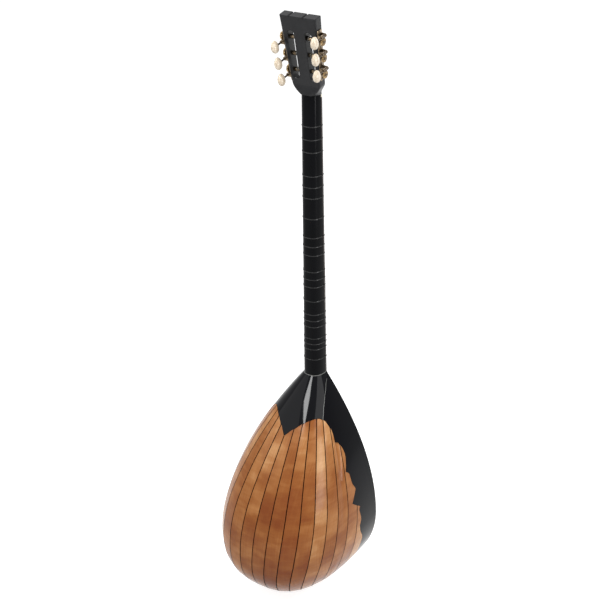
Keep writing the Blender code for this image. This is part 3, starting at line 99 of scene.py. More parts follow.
# Head and tuners
HEAD_TILT = math.radians(11.0)
HEAD_LENGTH, HEAD_DROP, HEAD_THICKNESS = 0.150, 0.0020, 0.0174
HEAD_TOP_WIDTH, HEAD_LOW_WIDTH, HEAD_FLARE_END = 0.0714, 0.0562, 0.029
HEAD_SPREAD = (HEAD_TOP_WIDTH - HEAD_LOW_WIDTH) / 2 / (HEAD_LENGTH - HEAD_FLARE_END)
SLOT_INNER, SLOT_OUTER, SLOT_ENDS = 0.0108, 0.0235, (0.038, 0.124)
RAMP_START, RAMP_DEPTH = 0.020, 0.0065
NOTCH_PLACES, NOTCH_WIDTH, NOTCH_DEPTH = (-0.0104, 0.0172), 0.0042, 0.0030
TUNER_PITCH, MIDDLE_ROLLER_UP, ROLLER_BACK = 0.0295, 0.0795, 0.0087
ROLLER_UPS = [MIDDLE_ROLLER_UP + TUNER_PITCH * step for step in (-1, 0, 1)]
ROLLER_RADIUS, ROLLER_SEAT, JOURNAL_RADIUS, SPIGOT_RADIUS = 0.0036, 0.0035, 0.0022, 0.0014
GEAR_MODULE, GEAR_TEETH, GEAR_THICKNESS = 0.0009, 14, 0.0030
WORM_OFFSET, WORM_STANDOFF, WORM_LENGTH = 0.0092, 0.0073, 0.0098
TOOTH_DEPTH, SHAFT_RADIUS = 0.0012, 0.0016
PLATE_THICKNESS, PLATE_WIDTH, EAR_THICKNESS, EAR_RADIUS = 0.0012, 0.0136, 0.0015, 0.0032
BUTTON_BACK, BUTTON_SIZE, BUTTON_SHAFT_DEPTH, BUTTON_NARROWING = 0.0264, (0.012, 0.015, 0.022), 0.004, 0.22
PLATE_SCREW_RADIUS, GEAR_SCREW_RADIUS, HOLDER_SCREW_RADIUS = 0.0019, 0.0022, 0.0018
PLATE_SCREW_PLACES = (-0.0458, -0.0193, 0.0102, 0.0371)
WINDING_START, WINDING_STEP, STRING_HOLE_PLACE, STRING_HOLE_RADIUS = 0.0168, 0.0016, 0.0030, 0.0008
GEAR_RADIUS = GEAR_MODULE * GEAR_TEETH / 2
WORM_RADIUS = WORM_OFFSET - GEAR_RADIUS
WORM_LEAD = math.pi * GEAR_MODULE
GEAR_BACK, GEAR_FRONT = WORM_STANDOFF - GEAR_THICKNESS / 2, WORM_STANDOFF + GEAR_THICKNESS / 2
HEAD_TAPER = math.atan(HEAD_SPREAD)

# Strings, their bearings and the jack
STRING_RADIUS = 0.00025
STRING_REST = STRING_RADIUS + GAP
PAIRS, PAIR_HALF_GAP = {"nut": 0.011, "bridge": 0.020, "tail": 0.0085}, 0.0012
BRIDGE_WIDTH, BRIDGE_THICKNESS, BRIDGE_RISE = 0.068, 0.004, 0.0105
SADDLE_RISE, HOLDER_THICKNESS, HOLDER_BACK = 0.003, 0.0015, 0.016
FRET_SEMITONES = (1, 1.5, 2, 3, 3.5, 4, 5, 6, 6.5, 7, 8, 8.5, 9, 10, 11, 11.5, 12, 13, 13.5, 14, 15)
FRET_STRAND, FRET_TURNS = 0.00030, 3
JACK_HEIGHT, JACK_BACK = FIRST_CUSP_HEIGHT - 0.1929, 0.040
JACK_DEPTH, JACK_BODY_RADIUS, JACK_THREAD_RADIUS, JACK_HOLE_RADIUS = 0.020, 0.0075, 0.0047, 0.0050
SOUND_HOLE_RADIUS, SOUND_HOLE_BACK = 0.008, 0.112


# Shaders

class Shader:
    """A node material; every helper returns a socket."""

    def __init__(self, name, color, roughness, **sockets):
        self.material = bpy.data.materials.new(name)
        self.material.use_nodes = True
        self.nodes, self.links = self.material.node_tree.nodes, self.material.node_tree.links
        self.principled = self.nodes["Principled BSDF"]
        self.set("Base Color", (*color, 1.0))
        self.set("Roughness", roughness)
        for socket, value in sockets.items():
            self.set(socket.replace("_", " "), value)

    def feed(self, target, value):
        if isinstance(value, bpy.types.NodeSocket):
            self.links.new(value, target)
        else:
            target.default_value = value

    def set(self, socket, value):
        self.feed(self.principled.inputs[socket], value)

    def node(self, kind, inputs=(), **settings):
        made = self.nodes.new(kind)
        for key, value in settings.items():
            setattr(made, key, value)
        for key, value in dict(inputs).items():
            self.feed(made.inputs[key], value)
        return made

    def attribute(self, name):
        return self.node("ShaderNodeAttribute", attribute_name=name)

    def local(self):
        return self.node("ShaderNodeTexCoord").outputs["Object"]

    def stretched(self, vector, scale):
        made = self.node("ShaderNodeVectorMath", {0: vector, 1: scale}, operation="MULTIPLY")
        return made.outputs["Vector"]

    def noise(self, vector, scale, detail=3.0, roughness=0.55, distortion=0.0):
        made = self.node("ShaderNodeTexNoise", {"Vector": vector, "Scale": scale, "Detail": detail,
                                                "Roughness": roughness, "Distortion": distortion})
        return made.outputs["Fac"]

    def ramp(self, factor, stops):
        made = self.node("ShaderNodeValToRGB", {"Fac": factor})
        line = made.color_ramp.elements
        for element, (place, color) in zip((line[0], line[1]), (stops[0], stops[-1])):
            element.position, element.color = place, (*color, 1.0)
        for place, color in stops[1:-1]:
            line.new(place).color = (*color, 1.0)
        return made.outputs["Color"]

    def remap(self, value, low, high, to_low=0.0, to_high=1.0):
        return self.node("ShaderNodeMapRange", {"Value": value, "From Min": low, "From Max": high,
                                                "To Min": to_low, "To Max": to_high}).outputs["Result"]

    def math(self, operation, first, second):
        return self.node("ShaderNodeMath", {0: first, 1: second}, operation=operation).outputs["Value"]

    def mix(self, factor, first, second):
        made = self.node("ShaderNodeMix", data_type="RGBA")
        for index, value in ((0, factor), (6, first), (7, second)):
            self.feed(made.inputs[index], (*value, 1.0) if isinstance(value, tuple) else value)
        return made.outputs[2]

    def bump(self, height, strength, distance):
        self.set("Normal", self.node("ShaderNodeBump", {"Height": height, "Strength": strength,
                                                        "Distance": distance}).outputs["Normal"])


def stave_wood():
    """Warm lacquered wood: soft bands across each stave, faint grain along it, and each stave's own colour,
    with painted light added to it: paler toward the cap, and a painted highlight on one stave.
    """
    s = Shader("stave_wood", (0.25, 0.088, 0.027), 0.20, Specular_IOR_Level=0.14)
    grain = s.attribute("grain").outputs["Vector"]
    tone = s.attribute("tone").outputs["Fac"]
    clouds = s.noise(s.stretched(grain, (13.0, 22.0, 1.0)), 1.0, 2.0, 0.5, 0.3)
    bands = s.noise(s.stretched(grain, (26.0, 110.0, 1.0)), 1.0, 3.0, 0.5, 0.6)
    streaks = s.noise(s.stretched(grain, (420.0, 9.0, 1.0)), 1.0, 3.0, 0.55, 0.2)
    pores = s.noise(s.stretched(grain, (1700.0, 70.0, 1.0)), 1.0, 2.0, 0.5)
    level = s.math("ADD", s.remap(clouds, 0.3, 0.7, 0.08, 0.62), s.remap(bands, 0.3, 0.7, -0.08, 0.08))
    level = s.math("ADD", level, s.remap(streaks, 0.3, 0.7, -0.05, 0.05))
    level = s.math("ADD", level, s.remap(tone, 0.0, 1.0, -0.20, 0.36))
    wood = s.ramp(level, ((0.0, (0.178, 0.046, 0.011)), (0.35, (0.240, 0.080, 0.020)),
                          (0.65, (0.340, 0.142, 0.046)), (1.0, (0.490, 0.265, 0.115))))
    s.set("Base Color", s.mix(s.remap(pores, 0.60, 0.74, 0.0, 0.22), wood, (0.130, 0.042, 0.010)))
    s.set("Roughness", s.remap(clouds, 0.3, 0.7, 0.17, 0.23))
    s.bump(s.math("ADD", streaks, s.math("MULTIPLY", pores, 0.4)), 0.15, 0.00008)
    return s.material


def lacquer(name, color, roughness, wave, specular):
    """Polished black lacquer whose surface is very slightly uneven."""
    s = Shader(name, color, roughness, Specular_IOR_Level=specular)
    place = s.local()
    slow, fine = s.noise(place, 9.0, 2.0), s.noise(place, 420.0, 2.0)
    s.set("Base Color", s.mix(s.remap(slow, 0.35, 0.65), color, tuple(c * 1.5 for c in color)))
    s.set("Roughness", s.remap(slow, 0.3, 0.7, roughness * 0.85, roughness * 1.25))
    s.bump(s.math("ADD", slow, s.math("MULTIPLY", fine, 0.02)), 0.3, wave)
    return s.material


def grained(name, dark, light, roughness, across=(220.0, 30.0, 6.0), **sockets):
    """Plain straight-grained wood in the piece's own coordinates."""
    s = Shader(name, light, roughness, **sockets)
    place = s.local()
    lines = s.noise(s.stretched(place, across), 1.0, 4.0, 0.6, 0.3)
    pores = s.noise(s.stretched(place, tuple(value * 6 for value in across)), 1.0, 2.0)
    s.set("Base Color", s.ramp(s.math("ADD", lines, s.remap(pores, 0.3, 0.7, -0.08, 0.08)),
                               ((0.34, dark), (0.66, light))))
    s.set("Roughness", s.remap(lines, 0.3, 0.7, roughness * 0.9, min(1.0, roughness * 1.2)))
    s.bump(pores, 0.25, 0.00008)
    return s.material


def spruce():
    """Quarter-sawn soundboard: fine year rings along the strings, with faint silk across them."""
    s = Shader("soundboard_spruce", (0.62, 0.40, 0.20), 0.3, Coat_Weight=0.4, Coat_Roughness=0.10)
    place = s.local()
    bend = s.noise(s.stretched(place, (6.0, 1.0, 1.5)), 1.0, 2.0)
    rings = s.node("ShaderNodeTexWave", {
        "Vector": s.stretched(place, (1.0, 0.0, 0.02)), "Scale": 95.0, "Distortion": 1.6, "Detail": 2.0,
        "Detail Scale": 1.2}, wave_type="BANDS", bands_direction="X", wave_profile="SAW").outputs["Fac"]
    silk = s.noise(s.stretched(place, (90.0, 1.0, 500.0)), 1.0, 2.0)
    wood = s.ramp(rings, ((0.0, (0.66, 0.45, 0.24)), (0.7, (0.60, 0.38, 0.19)), (1.0, (0.44, 0.24, 0.10))))
    wood = s.mix(s.remap(bend, 0.35, 0.65, 0.0, 0.35), wood, (0.70, 0.50, 0.28))
    s.set("Base Color", s.mix(s.remap(silk, 0.45, 0.7, 0.0, 0.2), wood, (0.74, 0.55, 0.33)))
    s.bump(rings, 0.15, 0.00006)
    return s.material


def metal(name, bright, dull, roughness, scale=260.0):
    """Bare or plated metal with tarnish in patches and fine scratches."""
    s = Shader(name, bright, roughness, Metallic=1.0)
    place = s.local()
    patches, scratches = s.noise(place, scale, 3.0), s.noise(place, scale * 9, 2.0)
    s.set("Base Color", s.mix(s.remap(patches, 0.35, 0.7), bright, dull))
    s.set("Roughness", s.math("ADD", s.remap(patches, 0.3, 0.7, roughness * 0.8, roughness * 1.5),
                              s.remap(scratches, 0.3, 0.7, -0.04, 0.05)))
    s.bump(scratches, 0.15, 0.00003)
    return s.material


def ivory():
    """Pearly cream plastic with faint cloudy swirls."""
    s = Shader("ivory_plastic", (0.72, 0.60, 0.43), 0.22, Coat_Weight=0.3, Coat_Roughness=0.06)
    clouds = s.noise(s.local(), 170.0, 3.0, 0.55, 1.6)
    s.set("Base Color", s.ramp(clouds, ((0.30, (0.50, 0.40, 0.29)), (0.52, (0.64, 0.54, 0.41)),
                                        (0.72, (0.76, 0.69, 0.57)))))
    s.bump(clouds, 0.1, 0.00008)
    return s.material


def nylon():
    """Clear fret line over the black neck: dark, glossy, with a pale glint."""
    s = Shader("fret_nylon", (0.010, 0.010, 0.011), 0.22, Specular_IOR_Level=0.28)
    twist = s.noise(s.local(), 900.0, 2.0)
    s.set("Base Color", s.mix(s.remap(twist, 0.35, 0.65), (0.008, 0.008, 0.009), (0.022, 0.022, 0.022)))
    s.bump(twist, 0.2, 0.00005)
    return s.material


def plain(name, first, second, roughness, scale, **sockets):
    """One colour that drifts between two near values, with a fine surface."""
    s = Shader(name, first, roughness, **sockets)
    place = s.local()
    drift = s.noise(place, scale, 3.0)
    s.set("Base Color", s.mix(s.remap(drift, 0.35, 0.65), first, second))
    s.set("Roughness", s.remap(drift, 0.3, 0.7, roughness * 0.9, min(1.0, roughness * 1.15)))
    s.bump(s.noise(place, scale * 12, 2.0), 0.2, 0.00005)
    return s.material


MATERIALS = {
    "stave": stave_wood(),
    "line": grained("stave_line_wood", (0.004, 0.0012, 0.0006), (0.010, 0.0028, 0.0012), 0.50,
                    Specular_IOR_Level=0.02),
    "black": lacquer("gloss_black", (0.0012, 0.0013, 0.0022), 0.06, 0.0009, 0.12),
    "panel": lacquer("gloss_black_panel", (0.0012, 0.0013, 0.0022), 0.06, 0.0009, 0.08),
    "neck": lacquer("neck_black", (0.0014, 0.0015, 0.0020), 0.14, 0.0004, 0.055),
    "satin": plain("satin_black", (0.0050, 0.0052, 0.0062), (0.0080, 0.0083, 0.0095), 0.34, 60.0,
                   Specular_IOR_Level=0.22),
    # Grey of the joint lines: partly their own pale lacquer, partly a painted highlight on the cap's raised
    # edge
    "joint": plain("joint_lacquer_and_edge_highlight", (0.10, 0.10, 0.095), (0.15, 0.15, 0.14), 0.25, 120.0),
    "fingerboard": grained("fingerboard_wood", (0.014, 0.009, 0.007), (0.038, 0.024, 0.018), 0.35),
    "spruce": spruce(),
    "pale": grained("pale_wood", (0.48, 0.32, 0.17), (0.64, 0.46, 0.27), 0.6),
    "bridge": grained("bridge_wood", (0.10, 0.040, 0.018), (0.20, 0.090, 0.040), 0.4, (60.0, 60.0, 300.0)),
    "bone": plain("bone", (0.78, 0.72, 0.58), (0.84, 0.80, 0.68), 0.3, 150.0),
    "nylon": nylon(),
    "plate": metal("plated_steel", (0.26, 0.20, 0.13), (0.070, 0.048, 0.030), 0.26),
    "brass": metal("brass", (0.40, 0.28, 0.135), (0.11, 0.070, 0.034), 0.22),
    "steel": metal("steel", (0.16, 0.13, 0.10), (0.050, 0.038, 0.028), 0.24),
    "string": metal("string_steel", (0.28, 0.27, 0.25), (0.17, 0.165, 0.15), 0.26, 900.0),
    "ivory": ivory(),
    "cable": plain("cable_black", (0.014, 0.014, 0.014), (0.022, 0.022, 0.022), 0.55, 200.0),
}


# Mesh helpers

def add_piece(name, mesh, finish, body="root", replaces=(), matrix=TO_ROW, sharp=35):
    """Adds one visible piece, in the row's frame, riding on a body."""
    mesh.transform(matrix)
    if matrix.determinant() < 0:
        mesh.flip_normals()
    mesh.materials.clear()
    mesh.materials.append(MATERIALS[finish])
    mesh.shade_smooth()
    mesh.set_sharp_from_angle(angle=math.radians(sharp))
    made = linked(name, mesh)
    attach(made, body)
    if replaces:
        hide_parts(replaces)
    return made


def linked(name, data):
    made = bpy.data.objects.new(name, data)
    bpy.context.scene.collection.objects.link(made)
    return made


def mesh_of(bm):
    bmesh.ops.recalc_face_normals(bm, faces=bm.faces)
    mesh = bpy.data.meshes.new("piece")
    bm.to_mesh(mesh)
    bm.free()
    return mesh


def grid_mesh(outer, inner, **attributes):
    """A closed slab between two grids of points of the same size (rows, columns, 3)."""
    at = np.arange(outer.shape[0] * outer.shape[1]).reshape(outer.shape[:2])
    size = at.size
    quads = np.stack([at[:-1, :-1], at[:-1, 1:], at[1:, 1:], at[1:, :-1]], -1).reshape(-1, 4)
    faces = np.stack([quads, quads[:, ::-1] + size], 1).reshape(-1, 4).tolist()
    for line, back in ((at[0], True), (at[-1], False), (at[:, 0], False), (at[:, -1], True)):
        a, b = line[:-1], line[1:]
        faces += np.stack((a + size, b + size, b, a) if back else (a, b, b + size, a + size), -1).tolist()
    mesh = bpy.data.meshes.new("slab")
    mesh.from_pydata(np.concatenate([outer.reshape(-1, 3), inner.reshape(-1, 3)]).tolist(), [], faces)
    for name, values in attributes.items():
        values = np.concatenate([values.reshape(size, -1)] * 2).astype(np.float32)
        is_vector = values.shape[1] == 3
        layer = mesh.attributes.new(name, "FLOAT_VECTOR" if is_vector else "FLOAT", "POINT")
        layer.data.foreach_set("vector" if is_vector else "value", values.ravel())
    mesh.update()
    return joined([mesh])


def turns(count):
    """Angles round a full circle."""
    return [2 * math.pi * i / count for i in range(count)]


def loft(rings, around=False):
    """Skin through rings of points, where a ring of one point is a tip.

    The ends get a flat face, or with around the last ring joins the first.
    """
    bm = bmesh.new()
    loops = [[bm.verts.new(point) for point in ring] for ring in rings]
    for lower, upper in list(zip(loops, loops[1:])) + ([(loops[-1], loops[0])] if around else []):
        count = max(len(lower), len(upper))
        for i in range(count):
            j = (i + 1) % count
            if len(lower) == 1:
                bm.faces.new((lower[0], upper[j], upper[i]))
            elif len(upper) == 1:
                bm.faces.new((lower[i], lower[j], upper[0]))
            else:
                bm.faces.new((lower[i], lower[j], upper[j], upper[i]))
    for end in () if around else (loops[0][::-1], loops[-1]):
        if len(end) > 1:
            bm.faces.new(end)
    return bm


def turned(profile, segments, axis="X", centre=(0.0, 0.0, 0.0)):
    """Turns (along, radius) points about an axis, from the axis back to it or as a closed loop."""
    order = {"X": (0, 1, 2), "Y": (2, 0, 1), "Z": (1, 2, 0)}[axis]
    rings = []
    for along, radius in profile:
        angles = turns(segments if radius else 1)
        points = [(along, radius * math.cos(t), radius * math.sin(t)) for t in angles]
        rings.append([Vector([p[k] for k in order]) + Vector(centre) for p in points])
    return mesh_of(loft(rings, around=profile[0][1] > 0))


def cylinder(radius, low, high, segments, axis="X", centre=(0.0, 0.0, 0.0)):
    return turned(((low, 0), (low, radius), (high, radius), (high, 0)), segments, axis, centre)


def prism(outline, low, high, axis):
    """An outline in the two other coordinates, drawn out along an axis."""
    at = "XYZ".index(axis)
    return loft([[(*point[:at], level, *point[at:]) for point in outline] for level in (low, high)])


def bevelled(bm, width, angle=40):
    """The mesh with rounded edges where they are sharper than an angle."""
    bmesh.ops.recalc_face_normals(bm, faces=bm.faces)
    edges = [e for e in bm.edges if len(e.link_faces) == 2 and e.calc_face_angle() > math.radians(angle)]
    bmesh.ops.bevel(bm, geom=edges, offset=width, segments=2, profile=0.5, affect="EDGES", clamp_overlap=True)
    return mesh_of(bm)


def cut(mesh, cutters):
    """The mesh after exact cuts, as a new mesh."""
    target = linked("target", mesh)
    helpers = [linked("cutter", cutter) for cutter in cutters]
    for helper in helpers:
        step = target.modifiers.new("cut", "BOOLEAN")
        step.operation = "DIFFERENCE"
        step.object = helper
    bpy.context.view_layer.update()
    done = bpy.data.meshes.new_from_object(target.evaluated_get(bpy.context.evaluated_depsgraph_get()))
    for helper in [target] + helpers:
        bpy.data.objects.remove(helper)
    return done


def tube(points, radius, segments):
    """A tube along a line of points, with frames carried along it without twist."""
    points = [Vector(p) for p in points]
    side = (points[1] - points[0]).normalized().orthogonal().normalized()
    rings = []
    for i, point in enumerate(points):
        ahead = (points[min(i + 1, len(points) - 1)] - points[max(i - 1, 0)]).normalized()
        side = (side - ahead * side.dot(ahead)).normalized()
        other = ahead.cross(side)
        rings.append([point + (side * math.cos(t) + other * math.sin(t)) * radius for t in turns(segments)])
    return mesh_of(loft(rings))


def joined(meshes):
    bm = bmesh.new()
    for mesh in meshes:
        bm.from_mesh(mesh)
    return mesh_of(bm)


def smooth_route(knots, count):
    """Catmull-Rom points through the knots."""
    knots = [Vector(k) for k in knots]
    padded = [knots[0] * 2 - knots[1]] + knots + [knots[-1] * 2 - knots[-2]]
    points = []
    for a, b, c, d in zip(padded, padded[1:], padded[2:], padded[3:]):
        for t in (step / count for step in range(count)):
            points.append(0.5 * (2 * b + (c - a) * t + (2 * a - 5 * b + 4 * c - d) * t**2
                                 + (3 * b - a - 3 * c + d) * t**3))
    return points + [knots[-1]]


def smoothstep(low, high, value):
    share = min(1.0, max(0.0, (value - low) / (high - low)))
    return share * share * (3 - 2 * share)


def superellipse(turn, power):
    """Points of a unit half outline, squarer for a higher power."""
    across, up = np.cos(turn), np.maximum(0.0, np.sin(turn))
    return np.sign(across) * np.abs(across) ** (2 / power), up ** (2 / power)


# The bowl's surface: a table of its sections by height above the tail and share of the arc

def profile_value(height, full, top, powers, end, slope):
    height = np.asarray(height, float)
    below = np.clip((top - height) / top, 0, 1)
    low = full * np.maximum(1e-9, 1 - below ** powers[0]) ** (1 / powers[1])
    span = BOWL_LENGTH - top
    t = np.clip((height - top) / span, 0, 1)
    high = (2 * t**3 - 3 * t**2 + 1) * full + (3 * t**2 - 2 * t**3) * end + (t**3 - t**2) * slope * span
    return np.where(height < top, low, high)[()]


def half_width(height):
    return profile_value(height, BOWL_WIDTH / 2, WIDEST_HEIGHT, TAIL_WIDTH_POWERS, JOINT_WIDTH / 2,
                         WIDTH_SLOPE_AT_NECK)


def depth(height):
    return profile_value(height, BOWL_DEPTH, DEEPEST_HEIGHT, TAIL_DEPTH_POWERS, JOINT_DEPTH,
                         DEPTH_SLOPE_AT_NECK)


def section_power(height):
    """How square the cross-section is: round at the tail, fuller in the back, the neck's own at the joint."""
    power = TAIL_POWER + (BACK_POWER - TAIL_POWER) * smoothstep(0.0, FULL_BACK_HEIGHT, height)
    return power + (NECK_POWER - BACK_POWER) * smoothstep(SHOULDER_HEIGHT, BOWL_LENGTH, height)


TABLE_ROOTS = np.linspace(0.07, 1.0, 500)
TABLE_HEIGHTS = BOWL_LENGTH * TABLE_ROOTS**2
TABLE_SHARES = np.linspace(-1.0, 1.0, 401)


def section_table():
    points = np.zeros((len(TABLE_HEIGHTS), len(TABLE_SHARES), 3))
    arcs = np.zeros(len(TABLE_HEIGHTS))
    for i, height in enumerate(TABLE_HEIGHTS):
        wide, deep, power = half_width(height), depth(height), section_power(height)
        start = math.asin(min(1.0, (RIM / deep) ** (power / 2)))
        x, y = superellipse(np.linspace(start, math.pi - start, 1201), power)
        x, y = wide * x, deep * y
        arc = np.concatenate([[0.0], np.cumsum(np.hypot(np.diff(x), np.diff(y)))])
        share = 2 * arc / arc[-1] - 1
        points[i, :, 0] = np.interp(TABLE_SHARES, share, -x)
        points[i, :, 1] = np.interp(TABLE_SHARES, share, y)
        points[i, :, 2] = height
        arcs[i] = arc[-1] / 2
    return points, arcs


TABLE, TABLE_ARCS = section_table()
TABLE_NORMALS = np.cross(np.gradient(TABLE, axis=0), np.gradient(TABLE, axis=1))
TABLE_NORMALS /= np.linalg.norm(TABLE_NORMALS, axis=2, keepdims=True)


def half_arc(height):
    return np.interp(height, TABLE_HEIGHTS, TABLE_ARCS)


def bowl(height, share, inward=0.0):
    """Points of the bowl's outer surface, moved inward along the normal; arrays of any shape."""
    height, share = np.broadcast_arrays(np.asarray(height, float), np.asarray(share, float))
    u = (np.sqrt(np.clip(height, 0, None) / BOWL_LENGTH) - TABLE_ROOTS[0]) / (TABLE_ROOTS[1] - TABLE_ROOTS[0])
    v = (share + 1) / 2 * (len(TABLE_SHARES) - 1)
    i = np.clip(u.astype(int), 0, len(TABLE_ROOTS) - 2)
    j = np.clip(v.astype(int), 0, len(TABLE_SHARES) - 2)
    fu, fv = np.clip(u - i, 0, 1)[..., None], np.clip(v - j, 0, 1)[..., None]

    def blend(table):
        return ((table[i, j] * (1 - fv) + table[i, j + 1] * fv) * (1 - fu)
                + (table[i + 1, j] * (1 - fv) + table[i + 1, j + 1] * fv) * fu)

    normal = blend(TABLE_NORMALS)
    return blend(TABLE) - normal / np.linalg.norm(normal, axis=-1, keepdims=True) * inward


def slab(heights, shares, outside=0.0, inside=STAVE_WALL, **attributes):
    """A skin of the bowl between two depths under its surface."""
    return grid_mesh(bowl(heights, shares, outside), bowl(heights, shares, inside), **attributes)


def seam_share(nominal, height):
    """A stave's edge at a height: evenly shared higher up, and drawn in to the centre line near the tail."""
    way = np.clip(1 - np.asarray(height, float) / GATHER_HEIGHT, 0.0, 1.0)
    return nominal * (1 - SEAM_GATHER * way**1.5 * (1 - nominal**2))


def lobe_line():
    """The whole scalloped edge: smooth inside each lobe and sharp between them."""
    places = set()
    for lobe in LOBES:
        route = smooth_route([(height, share, 0.0) for height, share in lobe], 6)
        places.update((round(p.x, 6), round(p.y, 6)) for p in route)
    return np.array(sorted(places)).T


EDGE_HEIGHTS, EDGE_SHARES = lobe_line()


def scallop_share(height):
    return np.interp(height, EDGE_HEIGHTS, EDGE_SHARES)


FIRST_LOBE_HEIGHTS = np.linspace(FIRST_CUSP_HEIGHT, LOBES[0][3][0], 60)


def stave_top(share):
    """Height at which the wood ends under the cap and the upper part of the panels."""
    share = abs(share)
    if share <= PEAK_SHARE:
        return CAP_PEAK_HEIGHT - CAP_TIP_DROP * (1 - share / PEAK_SHARE) ** 2
    if share <= FIRST_CUSP_SHARE:
        way = (share - PEAK_SHARE) / (FIRST_CUSP_SHARE - PEAK_SHARE)
        return FIRST_CUSP_HEIGHT + (CAP_PEAK_HEIGHT - FIRST_CUSP_HEIGHT) * math.sqrt(1 - way * way)
    return np.interp(share, scallop_share(FIRST_LOBE_HEIGHTS), FIRST_LOBE_HEIGHTS)


CORNER_HEIGHT = stave_top(CORNER_SHARE)
# Joint of the cap and a side panel: (height, share of the half arc)
CAP_EDGE = ((CORNER_HEIGHT, CORNER_SHARE), (0.4100, 0.538), (0.4254, 0.609), (0.4404, 0.743), (0.4480, 0.890),
            (PANEL_TOP_HEIGHT, 1.0))


def cap_share(height):
    return np.interp(height, *zip(*CAP_EDGE))


def panel_share(height):
    """Edge of a side panel at any height."""
    if height <= FIRST_CUSP_HEIGHT:
        return scallop_share(height)
    if height <= CORNER_HEIGHT:
        way = (height - FIRST_CUSP_HEIGHT) / (CAP_PEAK_HEIGHT - FIRST_CUSP_HEIGHT)
        return PEAK_SHARE + (FIRST_CUSP_SHARE - PEAK_SHARE) * math.sqrt(max(0.0, 1 - way * way))
    return cap_share(height)


# Staves, the dark lines between them, panels and caps

LINE_WIDTH, LINE_SINK = 0.0019, 0.00004
STAVE_BULGE = 0.25
# Painted light: the wood is painted paler toward the cap, where more light falls on it: heights, and what is
# added to tone there
PAINTED_LIGHT_RISE = ((0.27, 0.37), (0.0, 0.50))
LOWEST = TAIL_CAP_HEIGHT + GAP
tones = np.random.default_rng(11)
STAVE_TONES_AND_HIGHLIGHT = {(side, index): tones.random() for side in (-1, 1) for index in range(9)}
# Tones that the photo shows on the staves that it sees best; the bass side's stave (-1, 4) is set pale partly
# for its own paler wood and partly as a painted highlight, where a lamp reflects on its flat face
STAVE_TONES_AND_HIGHLIGHT.update({(1, 0): 0.42, (1, 1): 0.50, (1, 2): 0.55, (-1, 0): 0.26, (-1, 1): 0.12, (-1, 2): 0.06,
                    (-1, 3): 0.20, (-1, 4): 0.75, (-1, 5): 0.50, (-1, 6): 0.50, (-1, 7): 0.55})


def rising(low, high, count):
    """Heights from low to high, closer together near the tail."""
    return np.linspace(math.sqrt(low), math.sqrt(high), count) ** 2


def short_top(index):
    """Height at which a stave beside the panel runs out in a point."""
    for height in np.arange(FIRST_CUSP_HEIGHT, LOWEST, -0.0005):
        if scallop_share(height) > seam_share(index * STAVE_SHARE, height) + 0.006:
            return height
    return LOWEST


def stave_rows(index, across):
    """Rows of heights and shares of one stave on the positive side."""
    low_share, high_share = index * STAVE_SHARE, (index + 1) * STAVE_SHARE
    if index <= 6:
        shares = low_share + (high_share - low_share) * across
        tops = np.array([stave_top(share) - GAP for share in shares])
        way = np.linspace(0, 1, 110)[:, None]
        heights = (math.sqrt(LOWEST) + (np.sqrt(tops) - math.sqrt(LOWEST)) * way) ** 2
        return heights, seam_share(shares, heights) + LINE_WIDTH / 2 / half_arc(heights) * (1 - 2 * across)
    top = short_top(index)
    heights = sorted(list(rising(LOWEST, top, 60)) + [z for z in EDGE_HEIGHTS if LOWEST < z < top])
    rows = []
    for z in heights:
        pad = LINE_WIDTH / 2 / half_arc(z)
        left = seam_share(low_share, z) + pad
        right = scallop_share(z) - GAP / 2 / half_arc(z)
        if index == 7:
            right = min(seam_share(high_share, z) - pad, right)
        rows.append(left + (right - left) * across)
    return np.repeat(np.array(heights)[:, None], len(across), axis=1), np.array(rows)


def stave_mesh(side, index):
    """One stave, a little flatter across than the bowl."""
    across = np.linspace(0, 1, 7)
    heights, shares = stave_rows(index, across)
    shares = shares * side
    grids = []
    for inward in (0.0, STAVE_WALL):
        true = bowl(heights, shares, inward)
        flat = true[:, :1] * (1 - across)[None, :, None] + true[:, -1:] * across[None, :, None]
        flat[..., 2] = true[..., 2]
        grids.append(flat + (true - flat) * STAVE_BULGE)
    arc = shares * half_arc(heights)
    seed = 3.7 * (index + (20 if side > 0 else 0))
    # tone holds each stave's own tone, plus painted light toward the cap and a painted highlight on one stave
    return grid_mesh(*grids, grain=np.stack([arc, heights, np.full_like(arc, seed)], -1),
                     tone=STAVE_TONES_AND_HIGHLIGHT[(side, index)] + np.interp(heights, *PAINTED_LIGHT_RISE))


def add_staves():
    hole = cylinder(SOUND_HOLE_RADIUS, -0.010, 0.060, 40, "Z", (0.0, SOUND_HOLE_BACK, 0.0))
    for side_name, side in SIDES.items():
        for index in range(9):
            mesh = stave_mesh(side, index)
            if index == 0:
                mesh = cut(mesh, [hole])
            node = f"staves_{side_name}_1_to_7" if index <= 6 else f"stave_{side_name}_{index + 1}"
            add_piece(f"stave_{side_name}_piece_{index + 1}", mesh, "stave", replaces=node)


def add_stave_lines():
    """Dark strips let in between the staves, flush with them."""
    for index in range(-8, 9):
        reach = abs(index)
        top = short_top(reach) if reach > 7 else stave_top(reach * STAVE_SHARE)
        if reach == 7:
            top -= 0.002
        heights = rising(LOWEST, top - GAP, 110)[:, None]
        half = (LINE_WIDTH / 2 - 0.00003) / half_arc(heights)
        shares = seam_share(index * STAVE_SHARE, heights) + half * np.linspace(-1, 1, 3)[None, :]
        side_name = ("centre", "treble", "bass")[(index > 0) - (index < 0)]
        strip = slab(heights, shares, LINE_SINK)
        add_piece(f"stave_line_{side_name}_{reach}", strip, "line")


